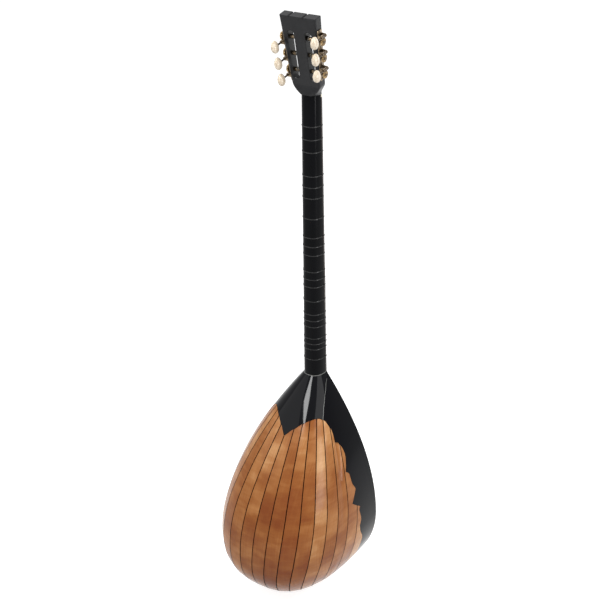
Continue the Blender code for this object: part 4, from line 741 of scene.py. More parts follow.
def add_panels():
    for side_name, side in SIDES.items():
        heights = list(rising(LOWEST, PANEL_TOP_HEIGHT - 0.0015, 150)) + list(EDGE_HEIGHTS) + [CORNER_HEIGHT]
        heights = np.array(sorted(z for z in heights if z >= LOWEST))[:, None]
        edges = np.array([[min(panel_share(z) + GAP / 2 / half_arc(z), 0.995)] for z in heights[:, 0]])
        mesh = slab(heights, side * (edges + (1 - edges) * np.linspace(0, 1, 13)[None, :]))
        if side > 0:
            bore = cylinder(JACK_HOLE_RADIUS, BOWL_WIDTH / 2 - 0.02, BOWL_WIDTH / 2 + 0.02, 40, "X",
                            (0.0, JACK_BACK, JACK_HEIGHT))
            mesh = cut(mesh, [bore])
        name = f"side_panel_{side_name}"
        add_piece(f"{name}_skin", mesh, "panel", replaces=name)


def add_heel_cap():
    across = np.linspace(-1, 1, 81)
    top = BOWL_LENGTH - GAP / 2
    lows = np.array([stave_top(CORNER_SHARE * abs(a)) + GAP / 2 for a in across])
    heights, shares = [], []
    for way in np.linspace(0, 1, 70):
        edge_height = CORNER_HEIGHT + (top - CORNER_HEIGHT) * way
        reach = cap_share(edge_height)
        if reach < 1:
            reach -= GAP / half_arc(edge_height)
        heights.append(lows + (top - lows) * way)
        shares.append(reach * across)
    add_piece("heel_cap_skin", slab(np.array(heights), np.array(shares)), "black",
              replaces="heel_cap")


def add_joint_lines():
    """Fine pale lines where the cap meets the side panels and the neck; their grey is partly the joints' own
    lacquer and partly a painted highlight on the raised edges.
    """
    half_line, proud, sunk = 0.0005, 0.00015, 0.0012
    for side_name, side in SIDES.items():
        heights = np.linspace(CORNER_HEIGHT, PANEL_TOP_HEIGHT - 0.004, 60)[:, None]
        shares = side * (cap_share(heights) + half_line / half_arc(heights) * np.array([[-1.0, 0.0, 1.0]]))
        add_piece(f"cap_joint_{side_name}", slab(heights, shares, -proud, sunk), "joint")
    low, high = BOWL_LENGTH - 0.0004, BOWL_LENGTH + 0.0008
    corners = ((low, 0.0004), (high, 0.0003), (high, -sunk), (low, -sunk))
    lines = [neck_ring(z, RIM, 60, grow) for z, grow in corners]
    add_piece("neck_joint_line", mesh_of(loft(list(zip(*lines)))), "joint")


def add_tail_cap():
    rings = []
    for z, way in ((0.0, 0.0), (0.0004, 0.28), (0.0010, 0.56), (0.0018, 0.80), (TAIL_CAP_HEIGHT, 1.0)):
        share = TAIL_CAP_SHARE + (1 - TAIL_CAP_SHARE) * way
        rings.append([(p[0] * share, RIM + (p[1] - RIM) * share, z)
                      for p in bowl(TAIL_CAP_HEIGHT, np.linspace(-1, 1, 97))])
    add_piece("tail_cap_skin", mesh_of(loft(rings)), "black", replaces="tail_cap")


# Soundboard, binding and braces

def board_outline(inset, steps=44):
    """The soundboard's treble edge from the tail to the neck, moved in from the bowl's edge."""
    low = TAIL_CAP_HEIGHT
    heights = (*rising(low, WIDEST_HEIGHT, steps), *np.linspace(WIDEST_HEIGHT, BOWL_LENGTH, steps)[1:])
    start = (half_width(low) * TAIL_CAP_SHARE, 0.0)
    points = [start] + [(half_width(z), z) for z in heights]
    moved = []
    for i, (x, z) in enumerate(points):
        before, after = points[max(0, i - 1)], points[min(len(points) - 1, i + 1)]
        along = Vector((after[0] - before[0], after[1] - before[1])).normalized()
        moved.append((x - along.y * inset, z + along.x * inset))
    moved[0] = (start[0], inset)
    moved[-1] = (moved[-1][0], BOWL_LENGTH)
    return moved


def mirrored(line):
    """The same points with the other sign of their first coordinate."""
    return [(-x, *rest) for x, *rest in line]


def add_soundboard():
    half = board_outline(0.0023)
    board = mesh_of(prism(half + mirrored(half[::-1]), 0.0, TOP_THICKNESS, "Y"))
    add_piece("soundboard_plate", board, "spruce", replaces="soundboard")
    braces = []
    for height in BRACE_HEIGHTS:
        low, high = height - BRACE_THICKNESS / 2, height + BRACE_THICKNESS / 2
        reach = half_width(height) - 0.0109
        profile = [(-reach, 0.0041), (reach, 0.0041), (reach, 0.007), (reach * 0.75, 0.0128),
                   (-reach * 0.75, 0.0128), (-reach, 0.007)]
        braces.append(bevelled(prism(profile, low, high, "Z"), 0.0006))
    add_piece("soundboard_braces", joined(braces), "pale")
    edges = board_outline(0.0), board_outline(BINDING_WIDTH)
    outer, inner = (line[::-1] + mirrored(line) for line in edges)
    eased = [(ox + (ix - ox) * 0.35, oz + (iz - oz) * 0.35) for (ox, oz), (ix, iz) in zip(outer, inner)]
    lines = [[(x, y, z) for x, z in line] for line, y in ((outer, 0.0007), (outer, TOP_THICKNESS),
                                                          (inner, TOP_THICKNESS), (inner, 0.0), (eased, 0.0))]
    add_piece("edge_binding_strip", mesh_of(loft(list(zip(*lines)))), "black",
              replaces="edge_binding")


# Neck, frets and nut

def neck_size(height):
    way = (height - BOWL_LENGTH) / NECK_LENGTH
    return (JOINT_WIDTH + (NUT_WIDTH - JOINT_WIDTH) * way) / 2, JOINT_DEPTH + (NUT_DEPTH - JOINT_DEPTH) * way


def neck_ring(height, front, count, grow=0.0):
    """Points from the treble edge round the neck's back to the bass edge."""
    wide, deep = (size + grow for size in neck_size(height))
    start = math.asin(max(0.0, front / deep) ** (NECK_POWER / 2))
    x, y = superellipse(np.linspace(start, math.pi - start, count), NECK_POWER)
    ring = np.stack([wide * x, deep * y, np.full(count, height)], 1)
    ring[[0, -1], 1] = front
    return ring


def add_neck():
    heights = np.linspace(BOWL_LENGTH + GAP / 2, NUT_HEIGHT + NUT_THICKNESS + 2 * GAP, 24)
    shaft = mesh_of(loft([neck_ring(z, RIM, 61) for z in heights]))
    add_piece("neck_shaft", shaft, "neck", replaces="neck", sharp=50)
    ease = 0.0006
    rings = []
    for z in (BOWL_LENGTH + GAP, NUT_HEIGHT - GAP):
        wide = neck_size(z)[0]
        half = [(wide - ease, 0.0, z), (wide, ease, z), (wide, TOP_THICKNESS, z)]
        rings.append(half + mirrored(half[::-1]))
    add_piece("fingerboard_face", mesh_of(loft(rings)), "fingerboard",
              replaces="fingerboard")


def fret_turn(z):
    """One turn of line round the neck, as a closed tube."""
    wide, front = neck_size(z)[0] + FRET_STRAND * 0.9, -FRET_STRAND * 0.95
    corner = [(wide * 0.997, front * 0.55, z), (wide, RIM * 0.3, z)]
    loop = [(wide * a, front, z) for a in np.linspace(-0.985, 0.985, 9)] + corner
    loop += list(neck_ring(z, RIM, 49, FRET_STRAND * 0.9)[1:-1]) + mirrored(corner[::-1])
    loop = [Vector(p) for p in loop]
    upward = Vector((0, 0, 1))
    rings = []
    for here, ahead, behind in zip(loop, loop[1:] + loop[:1], loop[-1:] + loop[:-1]):
        out = (ahead - behind).normalized().cross(upward).normalized()
        rings.append([here + (out * math.cos(a) + upward * math.sin(a)) * FRET_STRAND for a in turns(6)])
    return mesh_of(loft(rings, around=True))


def add_frets():
    """Nylon line tied round the neck: three turns side by side, and a knot with two short ends."""
    for number, semitone in enumerate(FRET_SEMITONES, start=1):
        height = NUT_HEIGHT - SCALE_LENGTH * (1 - 2 ** (-semitone / 12))
        steps = [turn - (FRET_TURNS - 1) / 2 for turn in range(FRET_TURNS)]
        meshes = [fret_turn(height + step * FRET_STRAND * 2) for step in steps]
        spot = Vector((-neck_size(height)[0] - 0.0002, 0.0052, height))
        knot = [spot + Vector((-0.0004 - 0.00035 * math.sin(2 * t), 0.0009 * math.cos(t),
                               0.0012 * math.sin(t))) for t in (2.3 * math.pi * i / 14 for i in range(15))]
        meshes.append(tube(knot, FRET_STRAND * 1.05, 6))
        for end in (-1, 1):
            tip = ((-0.0005, 0.0004, 0.0004 * end), (-0.0009, 0.0012, 0.0012 * end),
                   (-0.0007, 0.0022, 0.0019 * end))
            meshes.append(tube(smooth_route([spot + Vector(p) for p in tip], 3), FRET_STRAND, 6))
        add_piece(f"tied_fret_{number}", joined(meshes), "nylon", sharp=60)


def add_nut():
    wide, high = NUT_WIDTH / 2 - GAP, NUT_HEIGHT + NUT_THICKNESS
    profile = [(TOP_THICKNESS, NUT_HEIGHT), (TOP_THICKNESS, high), (-NUT_RISE * 0.3, high),
               (-NUT_RISE * 0.85, (NUT_CROWN_HEIGHT + high) / 2), (-NUT_RISE, NUT_CROWN_HEIGHT),
               (-NUT_RISE, NUT_HEIGHT)]
    cutters = []
    for x in (string_x(number, "nut") for number in range(1, 7)):
        y = -NUT_RISE - STRING_REST
        path = [(x, y - 0.0002, NUT_HEIGHT - 0.002), (x, y, NUT_CROWN_HEIGHT), (x, y + 0.0016, high + 0.002)]
        cutters.append(tube(path, STRING_REST + 0.00008, 12))
    add_piece("nut_block", cut(bevelled(prism(profile, -wide, wide, "X"), 0.0004, 50), cutters), "bone",
              replaces="nut")


# Head

def head_half_width(up):
    start, straight = NUT_WIDTH / 2, HEAD_LOW_WIDTH / 2 + HEAD_SPREAD * (up - HEAD_FLARE_END)
    return start + (straight - start) * smoothstep(0.006, HEAD_FLARE_END, up)


HEAD_TURN = Euler((-HEAD_TILT, 0.0, 0.0)).to_matrix().to_4x4()
HEAD_TO_TAIL = Matrix.Translation((0.0, HEAD_DROP, NUT_HEIGHT)) @ HEAD_TURN
HEAD_TO_ROW = TO_ROW @ HEAD_TO_TAIL


def tuner_matrix(side, up):
    """One tuner's place in the head's frame: X out of the side, Y to the back."""
    turn = HEAD_TAPER if side > 0 else math.pi - HEAD_TAPER
    place = Matrix.Translation((side * head_half_width(up), ROLLER_BACK, up))
    return place @ Matrix.Rotation(turn, 4, "Y")


def roller_length(up):
    return (head_half_width(up) - SLOT_INNER + ROLLER_SEAT) / math.cos(HEAD_TAPER)


def head_ring(up, count):
    """Outline across the head: the neck's rounded back, turning into a flat board with eased back edges."""
    way = smoothstep(0.006, HEAD_FLARE_END, up)
    thick = (NUT_DEPTH - HEAD_DROP) * (1 - way) + HEAD_THICKNESS * way
    x, y = superellipse(math.pi * np.arange(count) / (count - 1), NECK_POWER + 17.0 * way**1.5)
    return np.stack([head_half_width(up) * x, thick * y, np.full(count, up)], 1)


def slot_cutters(side):
    """One string slot, its eased rims, the ramp that leads the strings in, and the bores of its rollers."""
    radius, centre = (SLOT_OUTER - SLOT_INNER) / 2, side * (SLOT_OUTER + SLOT_INNER) / 2
    outline = []
    for end, start in ((SLOT_ENDS[1] - radius, 0.0), (SLOT_ENDS[0] + radius, math.pi)):
        outline += [(math.cos(a), end, math.sin(a)) for a in (start + math.pi * i / 16 for i in range(17))]
    passage = ((-0.010, 0.0), (0.030, 0.0))
    back_rim = ((HEAD_THICKNESS - 0.0007, 0.0), (HEAD_THICKNESS + 0.0009, 0.0016))
    front_rim = ((0.0007, 0.0), (-0.0009, 0.0016))
    cutters = []
    for faces in (passage, back_rim, front_rim):
        cutters.append(mesh_of(loft([[(centre + (radius + grow) * c, y, end + (radius + grow) * s)
                                      for c, end, s in outline] for y, grow in faces])))
    high = SLOT_ENDS[0] + radius
    deep = RAMP_DEPTH * (high - RAMP_START) / (SLOT_ENDS[0] - RAMP_START)
    wedge = ((0.0, RAMP_START), (deep, high), (-0.010, high), (-0.010, RAMP_START))
    cutters.append(mesh_of(prism(wedge, side * SLOT_INNER, side * SLOT_OUTER, "X")))
    for up in ROLLER_UPS:
        cutters.append(cylinder(ROLLER_RADIUS + GAP, -roller_length(up) - GAP, 0.004, 32))
        cutters[-1].transform(tuner_matrix(side, up))
    return cutters


def add_head():
    count = 57
    tilt_back = Matrix.Rotation(HEAD_TILT, 4, "X")
    rings = [[tilt_back @ Vector((x, y - HEAD_DROP, NUT_THICKNESS + 3 * GAP))
              for x, y, _ in neck_ring(NUT_HEIGHT, HEAD_DROP, count)]]
    ups = (*np.linspace(0.0105, 0.034, 18), 0.05, 0.08, 0.12, HEAD_LENGTH - 0.0006)
    rings += [head_ring(up, count) for up in ups]
    rings.append([(x * 0.985, 0.0007 + (y - 0.0004) * 0.96, HEAD_LENGTH) for x, y, _ in rings[-1]])
    cutters = slot_cutters(-1) + slot_cutters(1)
    for centre in NOTCH_PLACES:
        notch = ((centre, HEAD_LENGTH - NOTCH_DEPTH), (centre + NOTCH_WIDTH, HEAD_LENGTH + NOTCH_DEPTH),
                 (centre - NOTCH_WIDTH, HEAD_LENGTH + NOTCH_DEPTH))
        cutters.append(mesh_of(prism(notch, -0.010, 0.030, "Y")))
    add_piece("head_board", cut(mesh_of(loft(rings)), cutters), "satin", replaces="head",
              matrix=HEAD_TO_ROW, sharp=30)


# Tuners

def screw_mesh(radius, centre, turn):
    """Domed screw head with a slot, facing +X."""
    rim, dome = 0.0003, radius * 0.42
    tall = rim + dome
    profile = [(0.0, 0.0), (0.0, radius)]
    for angle in (math.pi / 10 * i for i in range(1, 5)):
        profile.append((rim + dome * math.sin(angle), radius * math.cos(angle)))
    wide, long = radius * 0.13, radius * 1.3
    slot = prism(((-wide, -long), (wide, -long), (wide, long), (-wide, long)), tall * 0.55, tall * 1.5, "X")
    done = cut(turned(profile + [(tall, 0.0)], 24), [mesh_of(slot)])
    done.transform(Matrix.Translation(centre) @ Matrix.Rotation(turn, 4, "X"))
    return done


def plate_mesh():
    """Side plate with folded bearing ears and bushes for the worms, in the middle roller's frame."""
    near, far = GAP, GAP + PLATE_THICKNESS
    top, low = TUNER_PITCH + 0.0115, -TUNER_PITCH - WORM_OFFSET - 0.0105
    half, corner = PLATE_WIDTH / 2, 0.003
    outline = []
    for cy, cz, start in ((half - corner, top - corner, 0), (-half + corner, top - corner, 90),
                          (-half + corner, low + corner, 180), (half - corner, low + corner, 270)):
        outline += [(cy + corner * math.cos(a), cz + corner * math.sin(a))
                    for a in (math.radians(start + 18 * i) for i in range(6))]
    meshes = [bevelled(prism(outline, near, far, "X"), 0.0003)]
    bore = SHAFT_RADIUS + GAP
    for step in (-1, 0, 1):
        z = step * TUNER_PITCH - WORM_OFFSET
        centre = (WORM_STANDOFF, 0.0, z)
        feet = ((far - 0.0001, -EAR_RADIUS * 1.25), (far + 0.0012, -EAR_RADIUS))
        for end in (-1, 1):
            inner = end * (WORM_LENGTH / 2 + 2 * GAP)
            outer = inner + end * EAR_THICKNESS
            ear = [(x, z + dz) for x, dz in feet]
            ear += [(WORM_STANDOFF + EAR_RADIUS * math.cos(a), z + EAR_RADIUS * math.sin(a))
                    for a in (-math.pi / 2 + math.pi * i / 12 for i in range(13))]
            ear += [(x, z - dz) for x, dz in feet[::-1]]
            block = loft([[(x, y, z) for x, z in ear] for y in sorted((inner, outer))])
            meshes.append(cut(bevelled(block, 0.00025, 50), [cylinder(bore, -0.02, 0.02, 24, "Y", centre)]))
            if end < 0:
                bush = ((outer, bore), (outer - 0.0006, bore), (outer - 0.0006, EAR_RADIUS * 0.72),
                        (outer, EAR_RADIUS * 0.80))
                meshes.append(turned(bush, 28, "Y", centre))
    return joined(meshes)


def roller_mesh(up, hole_x):
    """Roller with its journal in the plate and the spigot that carries the gear, and the string's hole."""
    inner, shoulder, r = -roller_length(up), GEAR_BACK - GAP, ROLLER_RADIUS
    profile = ((inner, 0.0), (inner, r - 0.0004), (inner + 0.0004, r), (-GAP - 0.0003, r), (-GAP, r - 0.0003),
               (-GAP, JOURNAL_RADIUS), (shoulder, JOURNAL_RADIUS), (shoulder, SPIGOT_RADIUS),
               (GEAR_FRONT, SPIGOT_RADIUS), (GEAR_FRONT, 0.0))
    hole = cylinder(STRING_HOLE_RADIUS, -0.008, 0.008, 16, "Z", (hole_x, 0.0, 0.0))
    return cut(turned(profile, 36), [hole])


def gear_mesh():
    """Wheel of trapezoid teeth with eased tips and a turned face, bored for the spigot; the screw in its
    middle is a piece of its own.
    """
    mean = GEAR_RADIUS - GAP / 2
    shape = ((-0.12, 0.44), (-0.05, 0.5), (0.05, 0.5), (0.12, 0.44), (0.33, -0.42), (0.40, -0.5),
             (0.60, -0.5), (0.67, -0.42))
    outline = []
    for tooth in range(GEAR_TEETH):
        for phase, radius in shape:
            turn = 2 * math.pi * (tooth + 0.5 + phase) / GEAR_TEETH
            size = mean + radius * TOOTH_DEPTH
            outline.append((-size * math.sin(turn), -size * math.cos(turn)))
    back, front, ease = GEAR_BACK, GEAR_FRONT, 0.00025
    rings = [[(x, y * share, z * share) for y, z in outline]
             for x, share in ((back, 0.965), (back + ease, 1.0), (front - ease, 1.0), (front, 0.965))]
    low, high = front - 0.0004, front + 0.001
    groove = turned(((low, mean * 0.50), (high, mean * 0.50), (high, mean * 0.72), (low, mean * 0.72)), 40)
    return cut(mesh_of(loft(rings)), [cylinder(SPIGOT_RADIUS + GAP, back - 0.01, front + 0.01, 28), groove])


def worm_mesh():
    """Shaft with its thread, right-handed, the crest facing the gear's hollow at rest."""
    mean, half = WORM_RADIUS - GAP / 2, WORM_LENGTH / 2
    steps = round(WORM_LENGTH / WORM_LEAD * 16)
    front = -half - EAR_THICKNESS - 4 * GAP
    back = BUTTON_BACK - BUTTON_SIZE[1] / 2 + BUTTON_SHAFT_DEPTH
    stations = [(front, SHAFT_RADIUS * 0.8), (front + 0.0002, SHAFT_RADIUS), (-half - 0.0001, SHAFT_RADIUS)]
    stations += [(-half + WORM_LENGTH * i / steps, None) for i in range(steps + 1)]
    stations += [(half + 0.0001, SHAFT_RADIUS), (back, SHAFT_RADIUS)]
    rings = []
    for along, radius in stations:
        ring = []
        for turn in turns(24):
            size = radius
            if size is None:
                wave = math.cos(2 * math.pi * along / WORM_LEAD - turn)
                wave = math.copysign(abs(wave) ** 0.7, wave)
                ends = min(1.0, (half - abs(along)) / 0.0008 + 0.15)
                size = mean + TOOTH_DEPTH / 2 * wave * ends - 0.0003 * (1 - ends)
            ring.append((size * math.sin(turn), along, size * math.cos(turn)))
        rings.append(ring)
    return mesh_of(loft(rings))


def button_mesh(narrow_end):
    """Egg-shaped button, widest along Z, with a collar at the shaft."""
    thick, long, tall = (size / 2 for size in BUTTON_SIZE)
    bore, floor = SHAFT_RADIUS + GAP, -long + BUTTON_SHAFT_DEPTH + GAP
    profile = [(floor, 0.0, 0.0), (floor, bore, bore), (-long, bore, bore),
               (-long, bore + 0.0011, bore + 0.0011), (-long + 0.0004, bore + 0.0015, bore + 0.0015),
               (-long + 0.0013, bore + 0.0016, bore + 0.0018)]
    for angle in np.radians(np.linspace(-50, 84, 22)):
        size = math.cos(angle) ** 0.8
        profile.append((long * math.sin(angle), thick * size, tall * size))
    profile.append((long, 0.0, 0.0))
    rings = []
    for along, across, up in profile:
        ring = []
        for turn in turns(40 if across else 1):
            z = up * math.sin(turn)
            ring.append((across * math.cos(turn) * (1 - BUTTON_NARROWING * narrow_end * z / tall), along, z))
        rings.append(ring)
    return mesh_of(loft(rings))


def winding_x(place, up):
    return WINDING_START - WINDING_STEP * place - head_half_width(up)


def add_tuners():
    for side_name, side in SIDES.items():
        plate_place = HEAD_TO_ROW @ tuner_matrix(side, MIDDLE_ROLLER_UP)
        add_piece(f"plate_{side_name}", plate_mesh(), "plate",
                  replaces=f"tuner_plate_{side_name}", matrix=plate_place)
        screws = [screw_mesh(PLATE_SCREW_RADIUS, Vector((GAP + PLATE_THICKNESS, 0.0, z)), 0.7 + 1.9 * i)
                  for i, z in enumerate(PLATE_SCREW_PLACES)]
        add_piece(f"plate_screws_{side_name}", joined(screws), "steel",
                  matrix=plate_place)
        for number, up in enumerate(ROLLER_UPS, start=1):
            label = f"{side_name}_{number}"
            roller, worm = f"roller_{label}", f"worm_{label}"
            roller_place = HEAD_TO_ROW @ tuner_matrix(side, up)
            worm_place = roller_place @ Matrix.Translation((WORM_STANDOFF, 0.0, -WORM_OFFSET))
            button_place = worm_place @ Matrix.Translation((0.0, BUTTON_BACK, 0.0))
            gear_screw = screw_mesh(GEAR_SCREW_RADIUS, Vector((GEAR_FRONT, 0.0, 0.0)),
                                    0.9 * number + 0.4 * side)
            hole_x = winding_x(number, up) + STRING_HOLE_PLACE
            add_piece(f"roller_{label}_piece", roller_mesh(up, hole_x), "plate", roller,
                      f"string_roller_{label}", roller_place)
            add_piece(f"gear_{label}", gear_mesh(), "brass", roller, f"gear_wheel_{label}",
                      roller_place)
            add_piece(f"gear_screw_{label}", gear_screw, "steel", roller, matrix=roller_place)
            add_piece(f"worm_{label}_piece", worm_mesh(), "steel", worm, f"worm_shaft_{label}",
                      worm_place)
            add_piece(f"button_{label}", button_mesh(side), "ivory", worm,
                      f"tuner_button_{label}", button_place)


# Strings, bridge and tail fittings

def string_x(number, where):
    """Strings 1 to 6 from the bass side, in three pairs."""
    pair = (number - 1) // 2 - 1
    return pair * PAIRS[where] + (PAIR_HALF_GAP if number % 2 == 0 else -PAIR_HALF_GAP)


def add_bridge():
    half, rise = BRIDGE_WIDTH / 2, -BRIDGE_RISE
    side = [(half, -GAP), (half, rise * 0.30), (half, rise * 0.55), (half * 0.96, rise * 0.76),
            (half * 0.86, rise * 0.93), (half * 0.70, rise * 0.985), (half * 0.5, rise)]
    arch = [(half * 0.72, -GAP), (half * 0.69, rise * 0.16), (half * 0.62, rise * 0.30),
            (half * 0.50, rise * 0.40), (half * 0.35, rise * 0.45)]
    outline = side + mirrored(side[::-1]) + mirrored(arch) + arch[::-1]
    low, high = BRIDGE_HEIGHT - BRIDGE_THICKNESS / 2, BRIDGE_HEIGHT + BRIDGE_THICKNESS / 2
    cutters = []
    for number in range(1, 7):
        x, y = string_x(number, "bridge"), -BRIDGE_RISE - STRING_REST - 0.0001
        cutters.append(tube([(x, y, low - 0.002), (x, y, high + 0.002)], STRING_REST + 0.0001, 12))
    add_piece("bridge_piece", cut(bevelled(prism(outline, low, high, "Z"), 0.0005, 50), cutters), "bridge",
              replaces="bridge")


def add_tail_fittings():
    reach = PAIRS["tail"] + 0.004
    profile = [(-GAP, 0.0), (-SADDLE_RISE * 0.7, 0.0004), (-SADDLE_RISE * 0.95, 0.0013),
               (-SADDLE_RISE, 0.0024), (-SADDLE_RISE * 0.93, 0.0038), (-SADDLE_RISE * 0.6, 0.0052),
               (-GAP, 0.006)]
    add_piece("tail_saddle_piece", bevelled(prism(profile, -reach, reach, "X"), 0.0003, 50), "bone",
              replaces="tail_saddle")
    near, far = -GAP, -GAP - HOLDER_THICKNESS
    low, high = HOLDER_BACK - 0.006, HOLDER_BACK + 0.008
    outline = ((-reach, low), (reach, low), (reach, high), (-reach, high))
    meshes = [bevelled(prism(outline, far, near, "Z"), 0.0005)]
    post = ((far - 0.0028, 0), (far - 0.0028, 0.0008), (far - 0.0024, 0.00105), (far - 0.0019, 0.0008),
            (far + 0.0002, 0.0008), (far + 0.0002, 0))
    for number in range(1, 7):
        meshes.append(turned(post, 20, "Z", (string_x(number, "tail"), HOLDER_BACK, 0.0)))
    for x in (-reach * 0.62, reach * 0.62):
        screw = screw_mesh(HOLDER_SCREW_RADIUS, Vector((0, 0, 0)), 0.6)
        place = Matrix.Translation((x, HOLDER_BACK + 0.0048, far))
        screw.transform(place @ Matrix.Rotation(math.pi / 2, 4, "Y"))
        meshes.append(screw)
    add_piece("string_holder_piece", joined(meshes), "plate", replaces="string_holder")


def string_points(number):
    """Route of one string: post, tail saddle, bridge, nut, and the turns on its roller."""
    tail_x, bridge_x, nut_x = (string_x(number, where) for where in ("tail", "bridge", "nut"))
    below = -GAP - HOLDER_THICKNESS - 0.0012
    points = [Vector((tail_x, HOLDER_BACK - 0.0008 - GAP, below)), Vector((tail_x, 0.008, below))]
    points += smooth_route([(tail_x, 0.0030, below + 0.0001), (tail_x, 0.001, below + 0.0010),
                            (tail_x, -SADDLE_RISE + 0.0005, -0.0006),
                            (tail_x, -SADDLE_RISE - STRING_REST - 0.0002, 0.0020)], 5)
    points += [Vector((bridge_x, -BRIDGE_RISE - STRING_REST - 0.0001, BRIDGE_HEIGHT)),
               Vector((nut_x, -NUT_RISE - STRING_REST, NUT_CROWN_HEIGHT))]
    side, place = (-1, number) if number <= 3 else (1, 7 - number)
    up = ROLLER_UPS[place - 1]
    if abs(nut_x) < PAIRS["nut"] / 2:
        points.append(HEAD_TO_TAIL @ Vector((side * (SLOT_INNER + STRING_REST), -STRING_REST, up * 0.6)))
    radius = ROLLER_RADIUS + STRING_REST - 0.0001
    start, per_turn, windings, advance = winding_x(place, up), 24, 2.5, 0.00095
    for i in range(round(windings * per_turn) + 1):
        turn = math.radians(-20) + 2 * math.pi * i / per_turn
        spot = (start + advance * i / per_turn, -radius * math.cos(turn), side * radius * math.sin(turn))
        points.append(HEAD_TO_TAIL @ tuner_matrix(side, up) @ Vector(spot))
    return points


def add_strings():
    for number in range(1, 7):
        wire = tube(string_points(number), STRING_RADIUS, 10)
        add_piece(f"string_{number}_wire", wire, "string", replaces=f"string_{number}",
                  sharp=80)


# Output jack

def panel_surface(height, back):
    """Outer face of the bowl's side at a height and a distance behind the soundboard's front."""
    power = section_power(height)
    sine = (back / depth(height)) ** (power / 2)
    return half_width(height) * math.sqrt(1 - sine * sine) ** (2 / power)


def add_jack():
    face = panel_surface(JACK_HEIGHT, JACK_BACK)
    flange, mouth = face - STAVE_WALL - 0.0012, face + 0.0045
    end, floor = flange - JACK_DEPTH, flange - JACK_DEPTH + 0.003
    bore, root = 0.0033, 0.0044
    profile = [(floor, 0), (floor, bore), (mouth - 0.0004, bore), (mouth, 0.0036), (mouth, root)]
    along = mouth - 0.0003
    while along > face + 0.0036:
        profile += [(along, JACK_THREAD_RADIUS), (along - 0.00025, root)]
        along -= 0.0005
    profile += [(flange, JACK_THREAD_RADIUS), (flange, JACK_BODY_RADIUS), (end, JACK_BODY_RADIUS), (end, 0)]
    add_piece("output_jack_barrel", turned(profile, 48, "X", (0.0, JACK_BACK, JACK_HEIGHT)), "plate",
              replaces="output_jack")
    flat = 0.0065
    outer = flat / math.cos(math.pi / 6)
    reaches = (-outer, 0.0, outer)
    spots = [(JACK_HEIGHT + up, JACK_BACK + back) for up in reaches for back in reaches]
    seat = 0.0004 + max(panel_surface(*spot) for spot in spots)
    hexagon = [flat / math.cos(turn % (math.pi / 3) - math.pi / 6) for turn in turns(72)]
    hole, rounded = [JACK_HOLE_RADIUS] * 72, [min(size, flat) for size in hexagon]
    rings = []
    for rise, sizes in ((0.0, hole), (0.0, hexagon), (0.0019, hexagon), (0.0024, rounded), (0.0024, hole)):
        rings.append([(seat + rise, JACK_BACK + size * math.cos(turn), JACK_HEIGHT + size * math.sin(turn))
                      for turn, size in zip(turns(72), sizes)])
    add_piece("jack_nut_piece", mesh_of(loft(rings, around=True)), "plate",
              replaces="jack_nut")


for add_part in (add_staves, add_stave_lines, add_panels, add_heel_cap, add_joint_lines, add_tail_cap,
                 add_soundboard, add_neck, add_frets, add_nut, add_head, add_tuners, add_bridge,
                 add_tail_fittings, add_strings, add_jack):
    add_part()
KEPT = {"rim_lining_bass": "pale", "rim_lining_treble": "pale", "neck_block": "pale", "tail_block": "pale",
        "pickup": "brass", "pickup_cable": "cable"}
for node_name, finish in KEPT.items():
    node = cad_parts[node_name]
    node.data.materials.clear()
    node.data.materials.append(MATERIALS[finish])

# Camera at the photograph's viewpoint
PHOTO_SIZE = 600
CAMERA_AZIMUTH, CAMERA_ELEVATION, CAMERA_DISTANCE, CAMERA_ROLL = 33.10, 28.86, 2.2006, -0.842
FOCAL_PIXELS, PRINCIPAL_X, PRINCIPAL_Y = 1155.78, 317.24, 325.45
AIM_POINT = TO_ROW @ Vector((0.0, 0.0, 0.55))
LIT_POINT = TO_ROW @ Vector((0.0, 0.10, 0.35))
# Name, azimuth, elevation, distance, width, height and radiance of each soft lamp
SOFTBOXES = (("key", -14, 58.5, 2.6, 0.86, 0.42, 35.0), ("top", -50, 76, 2.4, 1.3, 1.1, 2.4),
             ("bass_strip", 86, 14, 2.4, 0.44, 1.6, 10.5), ("bass_high", 92, 45, 2.4, 1.6, 0.9, 3.5),
             ("treble_fill", -52, 38, 2.6, 1.9, 1.3, 1.3), ("front", 165, 18, 3.0, 1.8, 1.8, 2.2))


def direction(azimuth, elevation):
    """Unit vector at angles in degrees, which go from the back to the bass side and up."""
    a, e = math.radians(azimuth), math.radians(elevation)
    return Vector((-math.sin(a) * math.cos(e), math.cos(a) * math.cos(e), math.sin(e)))


def add_camera():
    back, roll = direction(CAMERA_AZIMUTH, CAMERA_ELEVATION), math.radians(CAMERA_ROLL)
    right = Vector((0, 0, 1)).cross(back).normalized()
    up = back.cross(right)
    cosine, sine = math.cos(roll), math.sin(roll)
    rolled = Matrix((right * cosine + up * sine, up * cosine - right * sine, back)).transposed()
    data = bpy.data.cameras.new("camera")
    data.sensor_width, data.lens = 36.0, 36.0 * FOCAL_PIXELS / PHOTO_SIZE
    data.shift_x, data.shift_y = 0.5 - PRINCIPAL_X / PHOTO_SIZE, PRINCIPAL_Y / PHOTO_SIZE - 0.5
    data.clip_start, data.clip_end = 0.05, 60.0
    camera = linked("camera", data)
    camera.matrix_world = Matrix.Translation(AIM_POINT + back * CAMERA_DISTANCE) @ rolled.to_4x4()
    bpy.context.scene.camera = camera


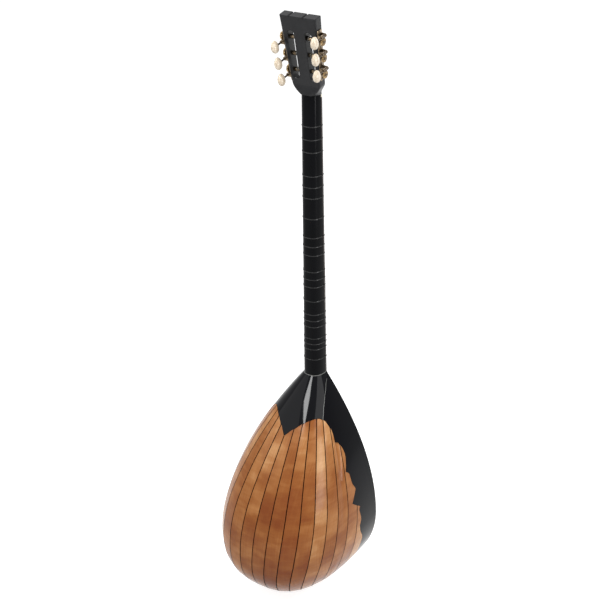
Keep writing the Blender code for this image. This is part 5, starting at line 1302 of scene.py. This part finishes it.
def add_softbox(name, azimuth, elevation, distance, wide, high, radiance):
    """A soft lamp that the bowl sees at these angles."""
    data = bpy.data.lights.new(name, "AREA")
    data.shape, data.size, data.size_y = "RECTANGLE", wide, high
    data.energy = radiance * math.pi * wide * high
    away = direction(azimuth, elevation)
    lamp = linked(name, data)
    lamp.location = LIT_POINT + away * distance
    lamp.rotation_euler = (-away).to_track_quat("-Z", "Y").to_euler()


def seen_white(nodes, links):
    """A socket that is 1 for rays that show the background: camera, glossy and transmission rays."""
    path = nodes.new("ShaderNodeLightPath")
    total = path.outputs["Is Camera Ray"]
    for output in ("Is Glossy Ray", "Is Transmission Ray"):
        add = nodes.new("ShaderNodeMath")
        add.operation = "MAXIMUM"
        links.new(total, add.inputs[0])
        links.new(path.outputs[output], add.inputs[1])
        total = add.outputs["Value"]
    return total


def add_world():
    world = bpy.data.worlds.new("studio")
    bpy.context.scene.world = world
    world.use_nodes = True
    nodes, links = world.node_tree.nodes, world.node_tree.links
    background = nodes["Background"]
    background.inputs["Color"].default_value = (1, 1, 1, 1)
    strength = nodes.new("ShaderNodeMapRange")
    links.new(seen_white(nodes, links), strength.inputs["Value"])
    strength.inputs["To Min"].default_value = 0.42
    strength.inputs["To Max"].default_value = 1.0
    links.new(strength.outputs["Result"], background.inputs["Strength"])


def add_floor():
    low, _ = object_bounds()
    bpy.ops.mesh.primitive_plane_add(size=30.0, location=(0.0, 0.0, low.z - 0.0005))
    floor = bpy.context.object
    floor.name = "floor"
    s = Shader("floor_white", (0.62, 0.62, 0.62), 0.9, Specular_IOR_Level=0.1)
    s.set("Base Color", s.mix(s.noise(s.local(), 1.5, 2.0), (0.60, 0.60, 0.60), (0.64, 0.64, 0.64)))
    emission = s.node("ShaderNodeEmission", {"Color": (1, 1, 1, 1)})
    s.links.new(s.math("MULTIPLY", seen_white(s.nodes, s.links), 0.78), emission.inputs["Strength"])
    both = s.node("ShaderNodeAddShader", {0: s.principled.outputs["BSDF"], 1: emission.outputs["Emission"]})
    s.links.new(both.outputs["Shader"], s.nodes["Material Output"].inputs["Surface"])
    floor.data.materials.append(s.material)


add_camera()
add_world()
add_floor()
for softbox in SOFTBOXES:
    add_softbox(*softbox)
bpy.context.scene.view_settings.view_transform = "Standard"
